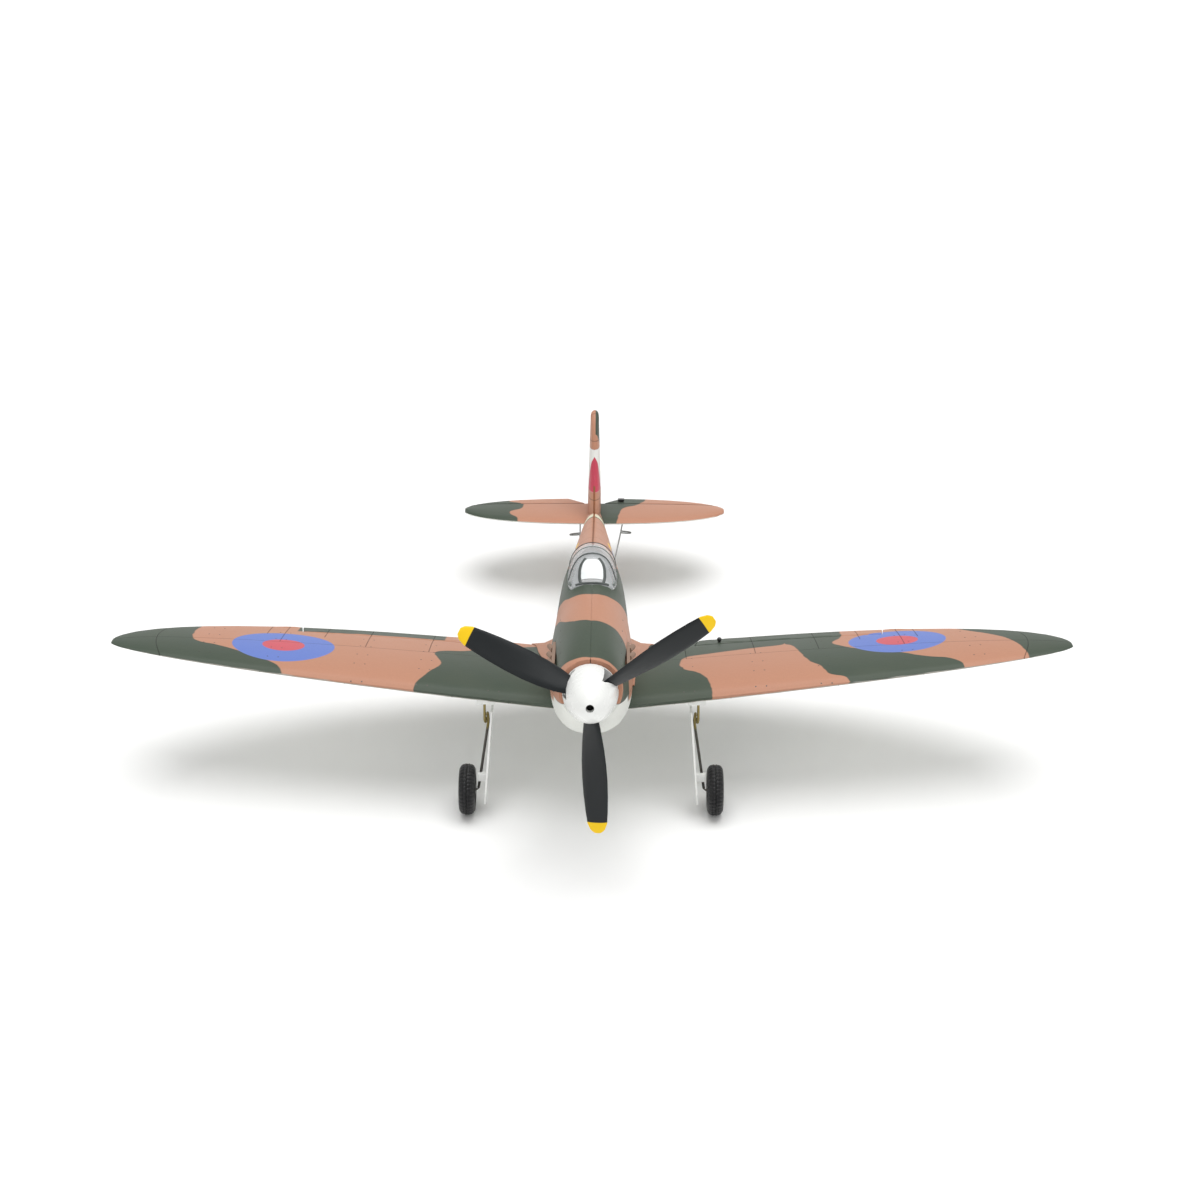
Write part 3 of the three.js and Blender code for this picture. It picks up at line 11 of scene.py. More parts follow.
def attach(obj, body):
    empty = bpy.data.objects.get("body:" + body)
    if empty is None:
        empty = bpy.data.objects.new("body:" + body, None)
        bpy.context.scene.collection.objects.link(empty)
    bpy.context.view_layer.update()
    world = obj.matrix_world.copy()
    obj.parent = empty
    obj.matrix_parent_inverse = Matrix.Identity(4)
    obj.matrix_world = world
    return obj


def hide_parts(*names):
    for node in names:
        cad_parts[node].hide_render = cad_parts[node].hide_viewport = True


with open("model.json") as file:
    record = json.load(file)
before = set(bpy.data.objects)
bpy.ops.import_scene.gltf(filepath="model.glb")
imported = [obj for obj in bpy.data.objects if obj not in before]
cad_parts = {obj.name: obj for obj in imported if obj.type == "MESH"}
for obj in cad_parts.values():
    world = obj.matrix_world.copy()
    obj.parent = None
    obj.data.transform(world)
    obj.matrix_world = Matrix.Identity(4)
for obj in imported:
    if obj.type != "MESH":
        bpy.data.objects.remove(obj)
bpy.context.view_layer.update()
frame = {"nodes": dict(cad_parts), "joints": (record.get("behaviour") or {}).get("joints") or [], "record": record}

NODES = frame["nodes"]
BODY_OF = {n: b for b, ns in frame["record"]["behaviour"]["bodies"].items() for n in ns}
JOINTS = {j["name"]: j for j in frame["joints"]}

# The aircraft's own axes, in mm: y runs aft from the spinner's tip along the thrust line, z up from it.
SHAFT = JOINTS["propeller_spin"]
HUB_Y = 17.7
AFT = Vector(SHAFT["axis"]).normalized()
TIP = Vector(SHAFT["pos_m"]) - AFT * HUB_Y / 1000
STANCE = math.atan2(-AFT.z, AFT.y)
TO_ROW = Matrix.Translation(TIP) @ Matrix.Rotation(-STANCE, 4, "X") @ Matrix.Scale(0.001, 4)


def row(x, y, z):
    """A point in the aircraft's axes, in mm, as a point in the row frame, in metres."""
    return TO_ROW @ Vector((x, y, z))


# ---------------------------------------------------------------- materials

def colour(r, g, b):
    """A display colour, 0 to 255, as linear RGBA."""
    def one(v):
        v /= 255
        return v / 12.92 if v <= 0.04045 else ((v + 0.055) / 1.055) ** 2.4
    return (one(r), one(g), one(b), 1.0)


BROWN = colour(188, 134, 108)
GREEN = colour(60, 74, 62)
PALE = colour(236, 238, 232)
BLUE = colour(98, 124, 200)
RED = colour(204, 84, 98)
YELLOW = colour(248, 204, 12)
WHITE = colour(236, 237, 232)
SEAM = colour(44, 46, 40)


class Graph:
    """A material's nodes, written as sums."""

    def __init__(self, name):
        self.material = bpy.data.materials.new(name)
        self.material.use_nodes = True
        self.tree = self.material.node_tree
        self.tree.nodes.clear()
        out = self.tree.nodes.new("ShaderNodeOutputMaterial")
        self.shader = self.tree.nodes.new("ShaderNodeBsdfPrincipled")
        self.tree.links.new(self.shader.outputs[0], out.inputs["Surface"])
        self.cache = {}

    def node(self, kind, **settings):
        made = self.tree.nodes.new(kind)
        for name, value in settings.items():
            setattr(made, name, value)
        return made

    def feed(self, socket, value):
        if isinstance(value, bpy.types.NodeSocket):
            self.tree.links.new(value, socket)
        else:
            socket.default_value = value

    def math(self, operation, *values, clamp=False):
        made = self.node("ShaderNodeMath", operation=operation, use_clamp=clamp)
        for i, value in enumerate(values):
            self.feed(made.inputs[i], value)
        return made.outputs[0]

    def add(self, a, b):
        return self.math("ADD", a, b)

    def sub(self, a, b):
        return self.math("SUBTRACT", a, b)

    def mul(self, a, b):
        return self.math("MULTIPLY", a, b)

    def abs(self, a):
        return self.math("ABSOLUTE", a)

    def any(self, *masks):
        made = masks[0]
        for mask in masks[1:]:
            made = self.math("MAXIMUM", made, mask)
        return made

    def all(self, *masks):
        made = masks[0]
        for mask in masks[1:]:
            made = self.math("MINIMUM", made, mask)
        return made

    def no(self, mask):
        return self.sub(1.0, mask)

    def above(self, value, edge, soft=0.3):
        """1 where value is over edge, with a soft step between."""
        gap = self.sub(value, edge)
        made = self.node("ShaderNodeMapRange", interpolation_type="SMOOTHSTEP")
        self.feed(made.inputs["Value"], gap)
        made.inputs["From Min"].default_value = -soft
        made.inputs["From Max"].default_value = soft
        return made.outputs["Result"]

    def below(self, value, edge, soft=0.3):
        return self.no(self.above(value, edge, soft))

    def line(self, value, at, half=0.18, soft=0.12):
        """1 on a thin line where value is at."""
        return self.below(self.abs(self.sub(value, at)), half, soft)

    def mix(self, factor, a, b):
        made = self.node("ShaderNodeMix", data_type="RGBA")
        self.feed(made.inputs[0], factor)
        for socket in made.inputs:
            if socket.type == "RGBA":
                self.feed(socket, a if socket.name == "A" else b)
        return [o for o in made.outputs if o.type == "RGBA"][0]

    def coords(self, output="Object"):
        key = "coords" + output
        if key not in self.cache:
            self.cache[key] = self.node("ShaderNodeTexCoord").outputs[output]
        return self.cache[key]

    def place(self):
        """x, y and z in the aircraft's own axes, in mm."""
        if "place" not in self.cache:
            turned = Matrix.Rotation(STANCE, 3, "X")
            made = self.node("ShaderNodeMapping", vector_type="POINT")
            made.inputs["Location"].default_value = turned @ TIP * -1000
            made.inputs["Rotation"].default_value = (STANCE, 0, 0)
            made.inputs["Scale"].default_value = (1000, 1000, 1000)
            self.feed(made.inputs["Vector"], self.coords())
            apart = self.node("ShaderNodeSeparateXYZ")
            self.feed(apart.inputs[0], made.outputs[0])
            self.cache["place"] = apart.outputs[0], apart.outputs[1], apart.outputs[2]
            self.cache["mm"] = made.outputs[0]
        return self.cache["place"]

    def facing(self):
        """How far the surface faces up, from -1 to 1."""
        if "facing" not in self.cache:
            apart = self.node("ShaderNodeSeparateXYZ")
            self.feed(apart.inputs[0], self.coords("Normal"))
            self.cache["facing"] = apart.outputs[2]
        return self.cache["facing"]

    def noise(self, size_mm, detail=3.0, roughness=0.55, stretch=(1, 1, 1)):
        self.place()
        key = ("noise", size_mm, detail, stretch)
        if key not in self.cache:
            vector = self.cache["mm"]
            if stretch != (1, 1, 1):
                scaled = self.node("ShaderNodeMapping", vector_type="POINT")
                scaled.inputs["Scale"].default_value = stretch
                self.feed(scaled.inputs["Vector"], vector)
                vector = scaled.outputs[0]
            made = self.node("ShaderNodeTexNoise")
            self.feed(made.inputs["Vector"], vector)
            made.inputs["Scale"].default_value = 1 / size_mm
            made.inputs["Detail"].default_value = detail
            made.inputs["Roughness"].default_value = roughness
            self.cache[key] = made.outputs[0]
        return self.cache[key]

    def cells(self, size_mm, feature="F1"):
        self.place()
        made = self.node("ShaderNodeTexVoronoi", feature=feature)
        self.feed(made.inputs["Vector"], self.cache["mm"])
        made.inputs["Scale"].default_value = 1 / size_mm
        return made.outputs["Distance"]

    def profile(self, value, points):
        """A line drawn through listed points: points are (value, result) pairs in rising order."""
        xs = [p[0] for p in points]
        ys = [p[1] for p in points]
        low, high = min(ys), max(max(ys), min(ys) + 1)
        share = self.math("DIVIDE", self.sub(value, xs[0]), xs[-1] - xs[0], clamp=True)
        made = self.node("ShaderNodeFloatCurve")
        curve = made.mapping.curves[0]
        spots = [((x - xs[0]) / (xs[-1] - xs[0]), (y - low) / (high - low)) for x, y in points]
        curve.points[0].location = spots[0]
        curve.points[1].location = spots[-1]
        for spot in spots[1:-1]:
            curve.points.new(*spot)
        made.mapping.update()
        self.feed(made.inputs["Value"], share)
        return self.add(self.mul(made.outputs[0], high - low), low)

    def bump(self, height, distance_mm, strength=1.0, under=None):
        made = self.node("ShaderNodeBump")
        made.inputs["Strength"].default_value = strength
        made.inputs["Distance"].default_value = distance_mm / 1000
        self.feed(made.inputs["Height"], height)
        if under is not None:
            self.feed(made.inputs["Normal"], under)
        return made.outputs[0]

    def span(self, value, low, high):
        """A 0 to 1 value spread between low and high."""
        return self.add(self.mul(value, high - low), low)

    def finish(self, base, roughness, normal=None, **constants):
        self.feed(self.shader.inputs["Base Color"], base)
        self.feed(self.shader.inputs["Roughness"], roughness)
        if normal is not None:
            self.feed(self.shader.inputs["Normal"], normal)
        for name, value in constants.items():
            self.shader.inputs[name.replace("_", " ")].default_value = value
        return self.material


def painted(g, base, grooves, gloss=0.46):
    """Paint on moulded foam: faint beads and grain, mottled tone, dark grooves."""
    tone = g.noise(16, 4.0)
    fine = g.noise(0.9, 2.0)
    beads = g.cells(1.9)
    base = g.mix(g.span(tone, 0.0, 0.05), base, colour(214, 200, 176))
    base = g.mix(g.span(fine, 0.0, 0.12), base, colour(40, 38, 34))
    base = g.mix(g.mul(grooves, 0.78), base, SEAM)
    normal = g.bump(g.add(g.mul(beads, -0.5), g.mul(fine, 0.35)), 0.05, 0.55)
    normal = g.bump(g.mul(grooves, -1.0), 0.22, 0.8, normal)
    rough = g.add(g.span(tone, gloss - 0.06, gloss + 0.1), g.mul(grooves, 0.2))
    return g.finish(base, rough, normal, Specular_IOR_Level=0.26)


def disc(g, across, along, rings, base):
    """Plain concentric rings painted over base, from the outside in."""
    far = g.math("SQRT", g.add(g.mul(across, across), g.mul(along, along)))
    for radius, tint, mask in rings:
        base = g.mix(g.all(g.below(far, radius, 0.18), mask), base, tint)
    return base


WING_HALF_SPAN = 200.0
WING_ROOT_CHORD = 90.5
ROUNDEL_X = 129.6
SPINE_LINE = colour(140, 85, 50)


def wing_paint():
    g = Graph("wing_paint")
    x, y, z = g.place()
    side = g.above(x, 0.0, 0.01)
    wobble = g.mul(g.sub(g.noise(7, 2.0), 0.5), 1.6)
    ax = g.abs(x)
    edge = g.add(ax, wobble)
    yy = g.add(y, g.mul(g.sub(g.noise(9, 2.0), 0.5), 1.4))
    # the right wing, x below 0
    inner = g.profile(y, [(78, 74), (88, 70.5), (98, 66), (107, 63), (116, 65), (124, 66.8), (129, 63),
                          (131.5, 56), (138, 48.5), (146.5, 40), (156, 31), (172, 14)])
    outer = g.profile(y, [(78, 124.5), (88.8, 128), (92.3, 131.2), (96.8, 140), (103.3, 148.8), (108, 157.4),
                          (111, 164.6), (117, 168), (126.4, 168.8), (140, 168), (150, 166)])
    share = g.math("POWER", g.math("DIVIDE", ax, WING_HALF_SPAN), 2.0)
    chord = g.mul(g.math("SQRT", g.math("MAXIMUM", g.sub(1.0, share), 0.0)), WING_ROOT_CHORD)
    aft_line = g.add(g.mul(chord, 0.56), 105.6)
    strip = g.all(g.above(yy, aft_line, 0.4), g.above(ax, 64.5, 0.4), g.below(ax, 127.5, 0.4))
    green_a = g.any(g.below(edge, inner, 0.35), g.above(edge, outer, 0.35), strip)
    # the left wing, x above 0
    a = g.profile(y, [(78, 50), (89, 48.5), (96, 47), (103, 42.8), (108, 38.2), (119, 37.2), (127, 40),
                      (130.5, 50), (135, 69.5), (137.5, 82), (172, 83)])
    b = g.profile(y, [(78, 109), (85.8, 104.4), (90, 97.2), (97.4, 94.8), (106, 90.4), (118, 88), (130, 86.4),
                      (135, 84.5), (137.5, 83), (172, 82)])
    c = g.profile(y, [(78, 155), (89.8, 153), (92.2, 151.8), (96.4, 147.7), (100, 138.6), (108, 128),
                      (118, 112), (126, 105), (132, 102.6), (143, 107), (155, 108)])
    d = g.profile(y, [(78, 180.5), (95, 180), (101, 179), (116, 175.5), (125, 171), (137.5, 162), (150, 154)])
    green_b = g.any(g.below(edge, a, 0.35), g.all(g.above(edge, b, 0.35), g.below(edge, c, 0.35)),
                    g.above(edge, d, 0.35))
    green = g.add(g.mul(green_a, g.no(side)), g.mul(green_b, side))
    base = g.mix(green, BROWN, GREEN)
    top = g.above(g.facing(), 0.0, 0.05)
    for sign, mask in ((-1, g.no(side)), (1, side)):
        across = g.sub(x, sign * ROUNDEL_X)
        along = g.sub(y, 115.0 if sign < 0 else 128.0)
        blue_radius = 21.3 if sign < 0 else 20.5
        rings = [(blue_radius, BLUE, g.all(mask, top)), (8.8, RED, g.all(mask, top))]
        base = disc(g, across, along, rings, base)
    under = g.below(g.facing(), -0.60, 0.03)
    # painted shade: a dark band along the edge of the pale underside, where the surface turns down away from the
    # light
    lip = g.all(under, g.above(g.facing(), -0.70, 0.03))
    base = g.mix(under, base, PALE)
    base = g.mix(g.mul(lip, 0.7), base, colour(96, 74, 58))
    # panel grooves
    spar = g.add(g.mul(chord, 0.22), 104.9)
    behind = g.above(y, spar, 0.1)
    ahead = g.no(behind)
    ribs = [g.line(ax, at) for at in (40.0, 69.3, 96.0, 131.8)]
    short = g.all(g.any(g.line(ax, 114.7), g.line(ax, 139.0)), g.above(y, g.add(spar, 14.0), 0.1))
    front = [g.line(ax, at) for at in (34.0, 57.0, 101.0, 136.0)]
    tip = g.line(ax, g.sub(182.5, g.mul(g.math("POWER", g.abs(g.sub(y, 118.0)), 2.0), 0.008)))
    grooves = g.any(g.line(y, spar), g.all(g.any(*ribs), behind), short,
                    g.all(g.any(*front), ahead, under), tip)
    grooves = g.mul(grooves, g.span(g.noise(22, 1.0), 0.55, 1.0))
    return painted(g, base, grooves)


def body_paint():
    g = Graph("body_paint")
    x, y, z = g.place()
    wobble = g.mul(g.sub(g.noise(8, 2.0), 0.5), 1.8)
    along = g.add(y, wobble)
    around = g.math("ARCTAN2", x, g.add(z, 4.0))
    lip = g.profile(around, [(-3.1, 70), (-2.1, 70), (-1.7, 40), (-1.2, 31.5), (-0.7, 29.6), (-0.35, 27.2),
                             (0, 26.4), (0.4, 26.2), (0.8, 26.4), (1.2, 25.8), (1.7, 25.6), (3.1, 25.6)])
    nose = g.profile(around, [(-3.1, 50), (-1.9, 54), (-1.5, 104), (-0.9, 92), (-0.45, 71), (-0.12, 63.5),
                              (0.24, 62.3), (0.57, 63.6), (0.85, 62), (1.1, 52), (1.3, 45), (1.9, 48),
                              (2.4, 50), (3.1, 50)])
    deck = g.profile(around, [(-3.1, 128), (-1.6, 124), (-1.0, 116), (-0.61, 108), (-0.26, 100), (0, 98.6),
                              (0.3, 100), (0.6, 104), (0.9, 109), (1.3, 118), (3.1, 126)])
    mid = g.profile(around, [(-3.1, 176), (-1.8, 176), (-1.3, 170), (-0.8, 155), (-0.4, 147.5), (0, 146.5),
                             (0.4, 147.5), (0.9, 157), (1.3, 166), (1.8, 172), (3.1, 172)])
    rear = g.profile(around, [(-3.1, 204), (-1.7, 208), (-1.2, 222), (-0.8, 236), (-0.4, 258), (0, 262),
                              (0.3, 248), (0.7, 232), (1.2, 214), (1.8, 202), (3.1, 202)])
    tail = g.profile(around, [(-3.1, 268), (-1.5, 272), (-0.7, 264), (0, 262), (0.7, 266), (1.5, 278),
                              (3.1, 280)])
    green = g.any(
        g.all(g.above(along, lip, 0.35), g.below(along, nose, 0.35)),
        g.all(g.above(along, deck, 0.35), g.below(along, mid, 0.35)),
        g.all(g.above(along, rear, 0.35), g.below(along, tail, 0.35)),
    )
    fillet = g.all(g.above(g.abs(x), 15.2, 0.5), g.below(z, -12.0, 0.5), g.above(y, 90.0, 1.0))
    green = g.all(green, g.no(fillet))
    base = g.mix(green, BROWN, GREEN)
    base = g.mix(g.all(g.above(y, 246.5, 0.2), g.below(y, 249.0, 0.2)), base, GREEN)
    band = g.all(g.above(y, 249.0, 0.2), g.below(y, 257.5, 0.2))
    base = g.mix(band, base, colour(222, 218, 190))
    sides = g.above(g.abs(x), 3.2, 0.3)
    rings = [(14.6, YELLOW, sides), (12.4, BLUE, sides), (8.4, WHITE, sides), (4.8, RED, sides)]
    base = disc(g, g.sub(y, 190.0), g.sub(z, 2.6), rings, base)
    low = g.profile(y, [(20, -5.0), (34, -6.8), (48, -8.6), (64, -11.0), (80, -16), (110, -21.5),
                        (150, -21), (172, -17), (200, -12.5), (240, -9), (280, -6.5), (310, -5)])
    inboard = g.any(g.below(g.abs(x), 14.5, 0.3), g.below(g.facing(), -0.1, 0.03))
    belly = g.any(g.all(g.below(z, low, 0.25), inboard), g.below(g.facing(), -0.8, 0.03))
    base = g.mix(belly, base, PALE)
    on_top = g.above(z, low, 0.1)
    hoops = g.any(*[g.line(y, at) for at in (158.0, 176.0, 212.0, 232.0, 268.0)])
    chin = g.all(g.line(z, low), g.above(y, 24.0, 0.1), g.below(y, 92.0, 0.1))
    long_line = g.all(g.line(z, g.add(g.mul(y, -0.03), 8.0)), g.above(y, 158.0, 0.1), g.below(y, 268.0, 0.1))
    grooves = g.any(g.all(hoops, on_top), chin, long_line)
    grooves = g.mul(grooves, g.span(g.noise(18, 1.0), 0.45, 0.95))
    spine = g.all(g.below(g.abs(x), 0.42, 0.12), g.above(y, 150.0, 1.0), g.above(z, 4.0, 0.5))
    base = g.mix(spine, base, SPINE_LINE)
    return painted(g, base, grooves)


def tail_paint():
    g = Graph("tail_paint")
    x, y, z = g.place()
    edge = g.add(x, g.mul(g.sub(g.noise(6, 2.0), 0.5), 1.6))
    left = g.profile(y, [(262, -38), (269, -36.9), (280, -41), (288, -36), (298.5, -35), (308, -42),
                         (318, -44)])
    right = g.profile(y, [(262, 10.5), (266, 11), (284.6, 13), (291, 15), (297.3, 20.6), (306, 23.7),
                          (318, 26)])
    green = g.any(g.below(edge, left, 0.3), g.all(g.above(x, 0.0, 0.1), g.below(edge, right, 0.3)))
    base = g.mix(green, BROWN, GREEN)
    under = g.below(g.facing(), -0.25, 0.03)
    base = g.mix(under, base, PALE)
    ax = g.abs(x)
    hinge = g.all(g.line(y, 301.0, 0.75), g.above(ax, 5.0, 0.1))
    grooves = g.mul(hinge, g.span(g.noise(15, 1.0), 0.85, 1.0))
    return painted(g, base, grooves)


def fin_paint():
    g = Graph("fin_paint")
    x, y, z = g.place()
    wobble = g.mul(g.sub(g.noise(6, 2.0), 0.5), 1.5)
    patch = g.profile(y, [(262, 60), (284, 52), (290, 44), (300, 40), (308, 36), (318, 30), (330, 28)])
    green = g.all(g.above(x, 0.4, 0.2), g.above(g.add(z, wobble), patch, 0.3))
    rear = g.profile(y, [(300, 5), (308, 8), (316, 17), (330, 22)])
    green = g.any(green, g.all(g.below(g.add(z, wobble), rear, 0.3), g.above(y, 300.0, 0.5)))
    base = g.mix(green, BROWN, GREEN)
    flash = g.all(g.above(z, 23.5, 0.15), g.below(z, 41.4, 0.15), g.below(y, 303.0, 0.1))
    base = g.mix(flash, base, BLUE)
    base = g.mix(g.all(flash, g.below(y, 292.0, 0.15)), base, WHITE)
    base = g.mix(g.all(flash, g.below(y, 279.3, 0.15)), base, colour(200, 62, 88))
    spine = g.all(g.below(g.abs(x), 0.5, 0.12), g.below(z, 26.0, 0.3), g.below(y, 276.0, 0.3))
    base = g.mix(spine, base, SPINE_LINE)
    grooves = g.any(g.line(z, 20.5), g.line(z, 45.0), g.all(g.line(y, 296.5), g.above(z, 12.0, 0.1)))
    grooves = g.mul(grooves, g.span(g.noise(15, 1.0), 0.4, 0.85))
    return painted(g, base, grooves)


def belly_paint():
    g = Graph("belly_paint")
    x, y, z = g.place()
    grooves = g.any(g.line(g.abs(x), 7.4), g.line(y, 63.0))
    return painted(g, PALE, g.mul(grooves, 0.6))


def cockpit_paint():
    """Dark green-grey plastic, with a padded brown seat and plain dials on the panel."""
    g = Graph("cockpit_paint")
    x, y, z = g.place()
    tone = g.noise(6, 3.0)
    seat = g.all(g.above(y, 130.6, 0.1), g.below(y, 139.6, 0.1), g.below(g.abs(x), 4.6, 0.1),
                 g.above(z, 7.9, 0.1))
    channels = g.all(g.any(*[g.line(x, at, 0.16, 0.1) for at in (-2.9, -1.0, 1.0, 2.9)]), seat)
    base = g.mix(g.span(tone, 0.0, 0.2), colour(58, 64, 60), colour(96, 100, 92))
    base = g.mix(seat, base, colour(112, 78, 54))
    base = g.mix(g.mul(channels, 0.7), base, colour(46, 30, 20))
    panel = g.all(g.above(y, 116.2, 0.05), g.below(y, 117.8, 0.05))
    base = g.mix(panel, base, colour(24, 26, 27))
    dials = ((-5.2, 11.2, 1.3), (-3.2, 14.6, 1.6), (0.2, 15.0, 1.8), (3.6, 14.5, 1.5), (5.3, 11.0, 1.3))
    for across, up, size in dials:
        rings = [(size, colour(214, 214, 206), panel), (size - 0.3, colour(14, 15, 16), panel)]
        base = disc(g, g.sub(x, across), g.sub(z, up), rings, base)
    normal = g.bump(g.sub(g.mul(g.noise(0.8, 2.0), 0.2), channels), 0.12, 0.7)
    return g.finish(base, g.span(tone, 0.5, 0.66), normal)


def plastic(name, tint, rough=0.32, speck=0.1, grain_mm=0.5, bump=0.02, **constants):
    """Moulded plastic: faint flow marks, fine grain and small tone changes."""
    g = Graph(name)
    tone = g.noise(6, 3.0)
    grain = g.noise(grain_mm, 2.0)
    base = g.mix(g.span(tone, 0.0, speck), tint, colour(150, 150, 146))
    normal = g.bump(grain, bump, 0.5)
    return g.finish(base, g.span(tone, rough - 0.06, rough + 0.08), normal, **constants)


def metal(name, tint, rough=0.3, stretch=(1, 1, 1), stain=0.25, stain_tint=(60, 50, 38)):
    """Drawn or turned metal: fine drawn lines and a little staining."""
    g = Graph(name)
    lines = g.noise(0.35, 2.0, stretch=stretch)
    tone = g.noise(3.0, 3.0)
    base = g.mix(g.span(tone, 0.0, stain), tint, colour(*stain_tint))
    normal = g.bump(lines, 0.02, 0.6)
    return g.finish(base, g.span(lines, rough - 0.08, rough + 0.14), normal, Metallic=0.9)


def leg_wire():
    """Spring wire, brass-toned above the door's top and dark below it."""
    g = Graph("leg_wire")
    z = g.place()[2]
    lines = g.noise(0.35, 2.0)
    base = g.mix(g.above(z, -36.0, 0.8), colour(96, 94, 90), colour(150, 136, 88))
    base = g.mix(g.span(g.noise(3.0, 3.0), 0.0, 0.25), base, colour(60, 50, 38))
    return g.finish(base, g.span(lines, 0.26, 0.46), g.bump(lines, 0.02, 0.6), Metallic=0.9)


def propeller_plastic():
    g = Graph("propeller_plastic")
    x, y, z = g.place()
    far = g.math("SQRT", g.add(g.mul(x, x), g.mul(z, z)))
    tone = g.noise(9, 3.0)
    grain = g.noise(0.45, 2.0)
    dark = g.mix(g.span(tone, 0.0, 0.08), colour(22, 26, 28), colour(46, 52, 54))
    base = g.mix(g.above(far, 51.2, 0.15), dark, YELLOW)
    normal = g.bump(grain, 0.02, 0.5)
    return g.finish(base, g.span(tone, 0.34, 0.5), normal, Specular_IOR_Level=0.32)


def rubber():
    g = Graph("tyre_rubber")
    tone = g.noise(2.2, 4.0)
    grain = g.noise(0.3, 2.0)
    base = g.mix(tone, colour(12, 12, 13), colour(24, 24, 26))
    return g.finish(base, g.span(tone, 0.34, 0.5), g.bump(grain, 0.04, 0.6), Specular_IOR_Level=0.45)


def clear_plastic():
    g = Graph("clear_plastic")
    tone = g.noise(5, 2.0)
    base = g.mix(g.span(tone, 0.0, 0.4), colour(246, 249, 250), colour(230, 238, 240))
    material = g.finish(base, g.span(tone, 0.03, 0.09), g.bump(g.noise(4, 1.0), 0.02, 0.4),
                        Alpha=0.3, Specular_IOR_Level=0.8, Coat_Weight=0.6)
    material.surface_render_method = "BLENDED"
    return material


# Painted reflection: almost opaque white plastic that stands for the studio light reflected in the windscreen's
# front panel.
def painted_reflection():
    g = Graph("painted_reflection")
    tone = g.noise(3, 2.0)
    base = g.mix(tone, colour(246, 248, 248), colour(232, 238, 238))
    return g.finish(base, g.span(tone, 0.12, 0.2), g.bump(tone, 0.02, 0.3),
                    Alpha=0.86, Specular_IOR_Level=0.7)


def plywood():
    g = Graph("plywood")
    rings = g.noise(5, 3.0, stretch=(1.0, 0.16, 1.0))
    fibre = g.noise(0.7, 3.0, stretch=(1.0, 0.08, 1.0))
    base = g.mix(rings, colour(196, 158, 108), colour(164, 122, 78))
    base = g.mix(g.mul(fibre, 0.35), base, colour(104, 72, 44))
    return g.finish(base, g.span(fibre, 0.55, 0.75), g.bump(fibre, 0.05, 0.6))


def carbon():
    g = Graph("carbon_rod")
    fibre = g.noise(0.5, 2.0, stretch=(0.05, 1.0, 1.0))
    base = g.mix(fibre, colour(26, 27, 29), colour(58, 59, 62))
    return g.finish(base, g.span(fibre, 0.25, 0.45), g.bump(fibre, 0.03, 0.5), Specular_IOR_Level=0.6)


def windings():
    g = Graph("windings")
    x, y, z = g.place()
    turns = g.math("SINE", g.mul(g.math("SQRT", g.add(g.mul(x, x), g.mul(z, z))), 14.0))
    base = g.mix(g.span(turns, 0.5, 1.0), colour(120, 58, 26), colour(206, 118, 62))
    return g.finish(base, 0.32, g.bump(turns, 0.08, 0.8), Metallic=0.8)


def wrap():
    g = Graph("battery_wrap")
    y = g.place()[1]
    band = g.all(g.above(y, 58.0, 0.1), g.below(y, 70.0, 0.1))
    base = g.mix(band, colour(34, 70, 136), colour(206, 208, 210))
    crinkle = g.noise(2.6, 3.0, stretch=(1, 0.4, 1))
    return g.finish(g.mix(g.mul(crinkle, 0.2), base, colour(20, 20, 24)), g.span(crinkle, 0.2, 0.36),
                    g.bump(crinkle, 0.15, 0.7), Coat_Weight=0.4)


def board():
    g = Graph("circuit_board")
    x, y, z = g.place()
    tracks = g.any(g.line(g.math("PINGPONG", x, 1.1), 0.55, 0.1, 0.05),
                   g.line(g.math("PINGPONG", y, 1.7), 0.8, 0.1, 0.05))
    speck = g.noise(2.0, 1.0)
    base = g.mix(g.mul(tracks, 0.6), colour(16, 74, 44), colour(60, 136, 84))
    return g.finish(g.mix(g.mul(speck, 0.15), base, colour(8, 30, 20)), g.span(speck, 0.3, 0.45),
                    g.bump(tracks, 0.04, 0.5))


MAT = {
    "wing": wing_paint(),
    "body": body_paint(),
    "tail": tail_paint(),
    "fin": fin_paint(),
    "belly": belly_paint(),
    "white": plastic("white_plastic", colour(238, 239, 236), 0.26, 0.05, 0.6, 0.015, Specular_IOR_Level=0.55),
    "black": plastic("black_plastic", colour(30, 32, 34), 0.36, 0.12),
    "exhaust": plastic("exhaust_plastic", colour(140, 112, 94), 0.6, 0.12, 0.8, 0.04),
    "tub": cockpit_paint(),
    "servo": plastic("servo_plastic", colour(32, 74, 150), 0.3, 0.1, Coat_Weight=0.3),
    "frame": plastic("canopy_frame_paint", colour(96, 106, 102), 0.42, 0.12),
    "dark_frame": plastic("canopy_edge_paint", colour(52, 60, 58), 0.42, 0.12),
    "propeller": propeller_plastic(),
    "rubber": rubber(),
    "clear": clear_plastic(),
    # the windscreen's painted reflection
    "reflection_sheet": painted_reflection(),
    "leg_wire": leg_wire(),
    "brass_wire": metal("toned_wire", colour(150, 136, 88), 0.34),
    "wire": metal("steel_wire", colour(158, 160, 160), 0.3),
    "dark_wire": metal("dark_wire", colour(96, 94, 90), 0.34),
    "alloy": metal("motor_alloy", colour(186, 190, 194), 0.28, (1, 6, 1)),
    "windings": windings(),
    "carbon": carbon(),
    "wood": plywood(),
    "wrap": wrap(),
    "board": board(),
}


# ---------------------------------------------------------------- pieces

def welded(node):
    """The CAD node's mesh with its corners joined, as triangles."""
    bm = bmesh.new()
    bm.from_mesh(NODES[node].data)
    bmesh.ops.remove_doubles(bm, verts=bm.verts, dist=2e-6)
    bmesh.ops.dissolve_degenerate(bm, dist=1e-6, edges=bm.edges)
    bmesh.ops.triangulate(bm, faces=bm.faces)
    mesh = bpy.data.meshes.new(node)
    bm.to_mesh(mesh)
    bm.free()
    return mesh


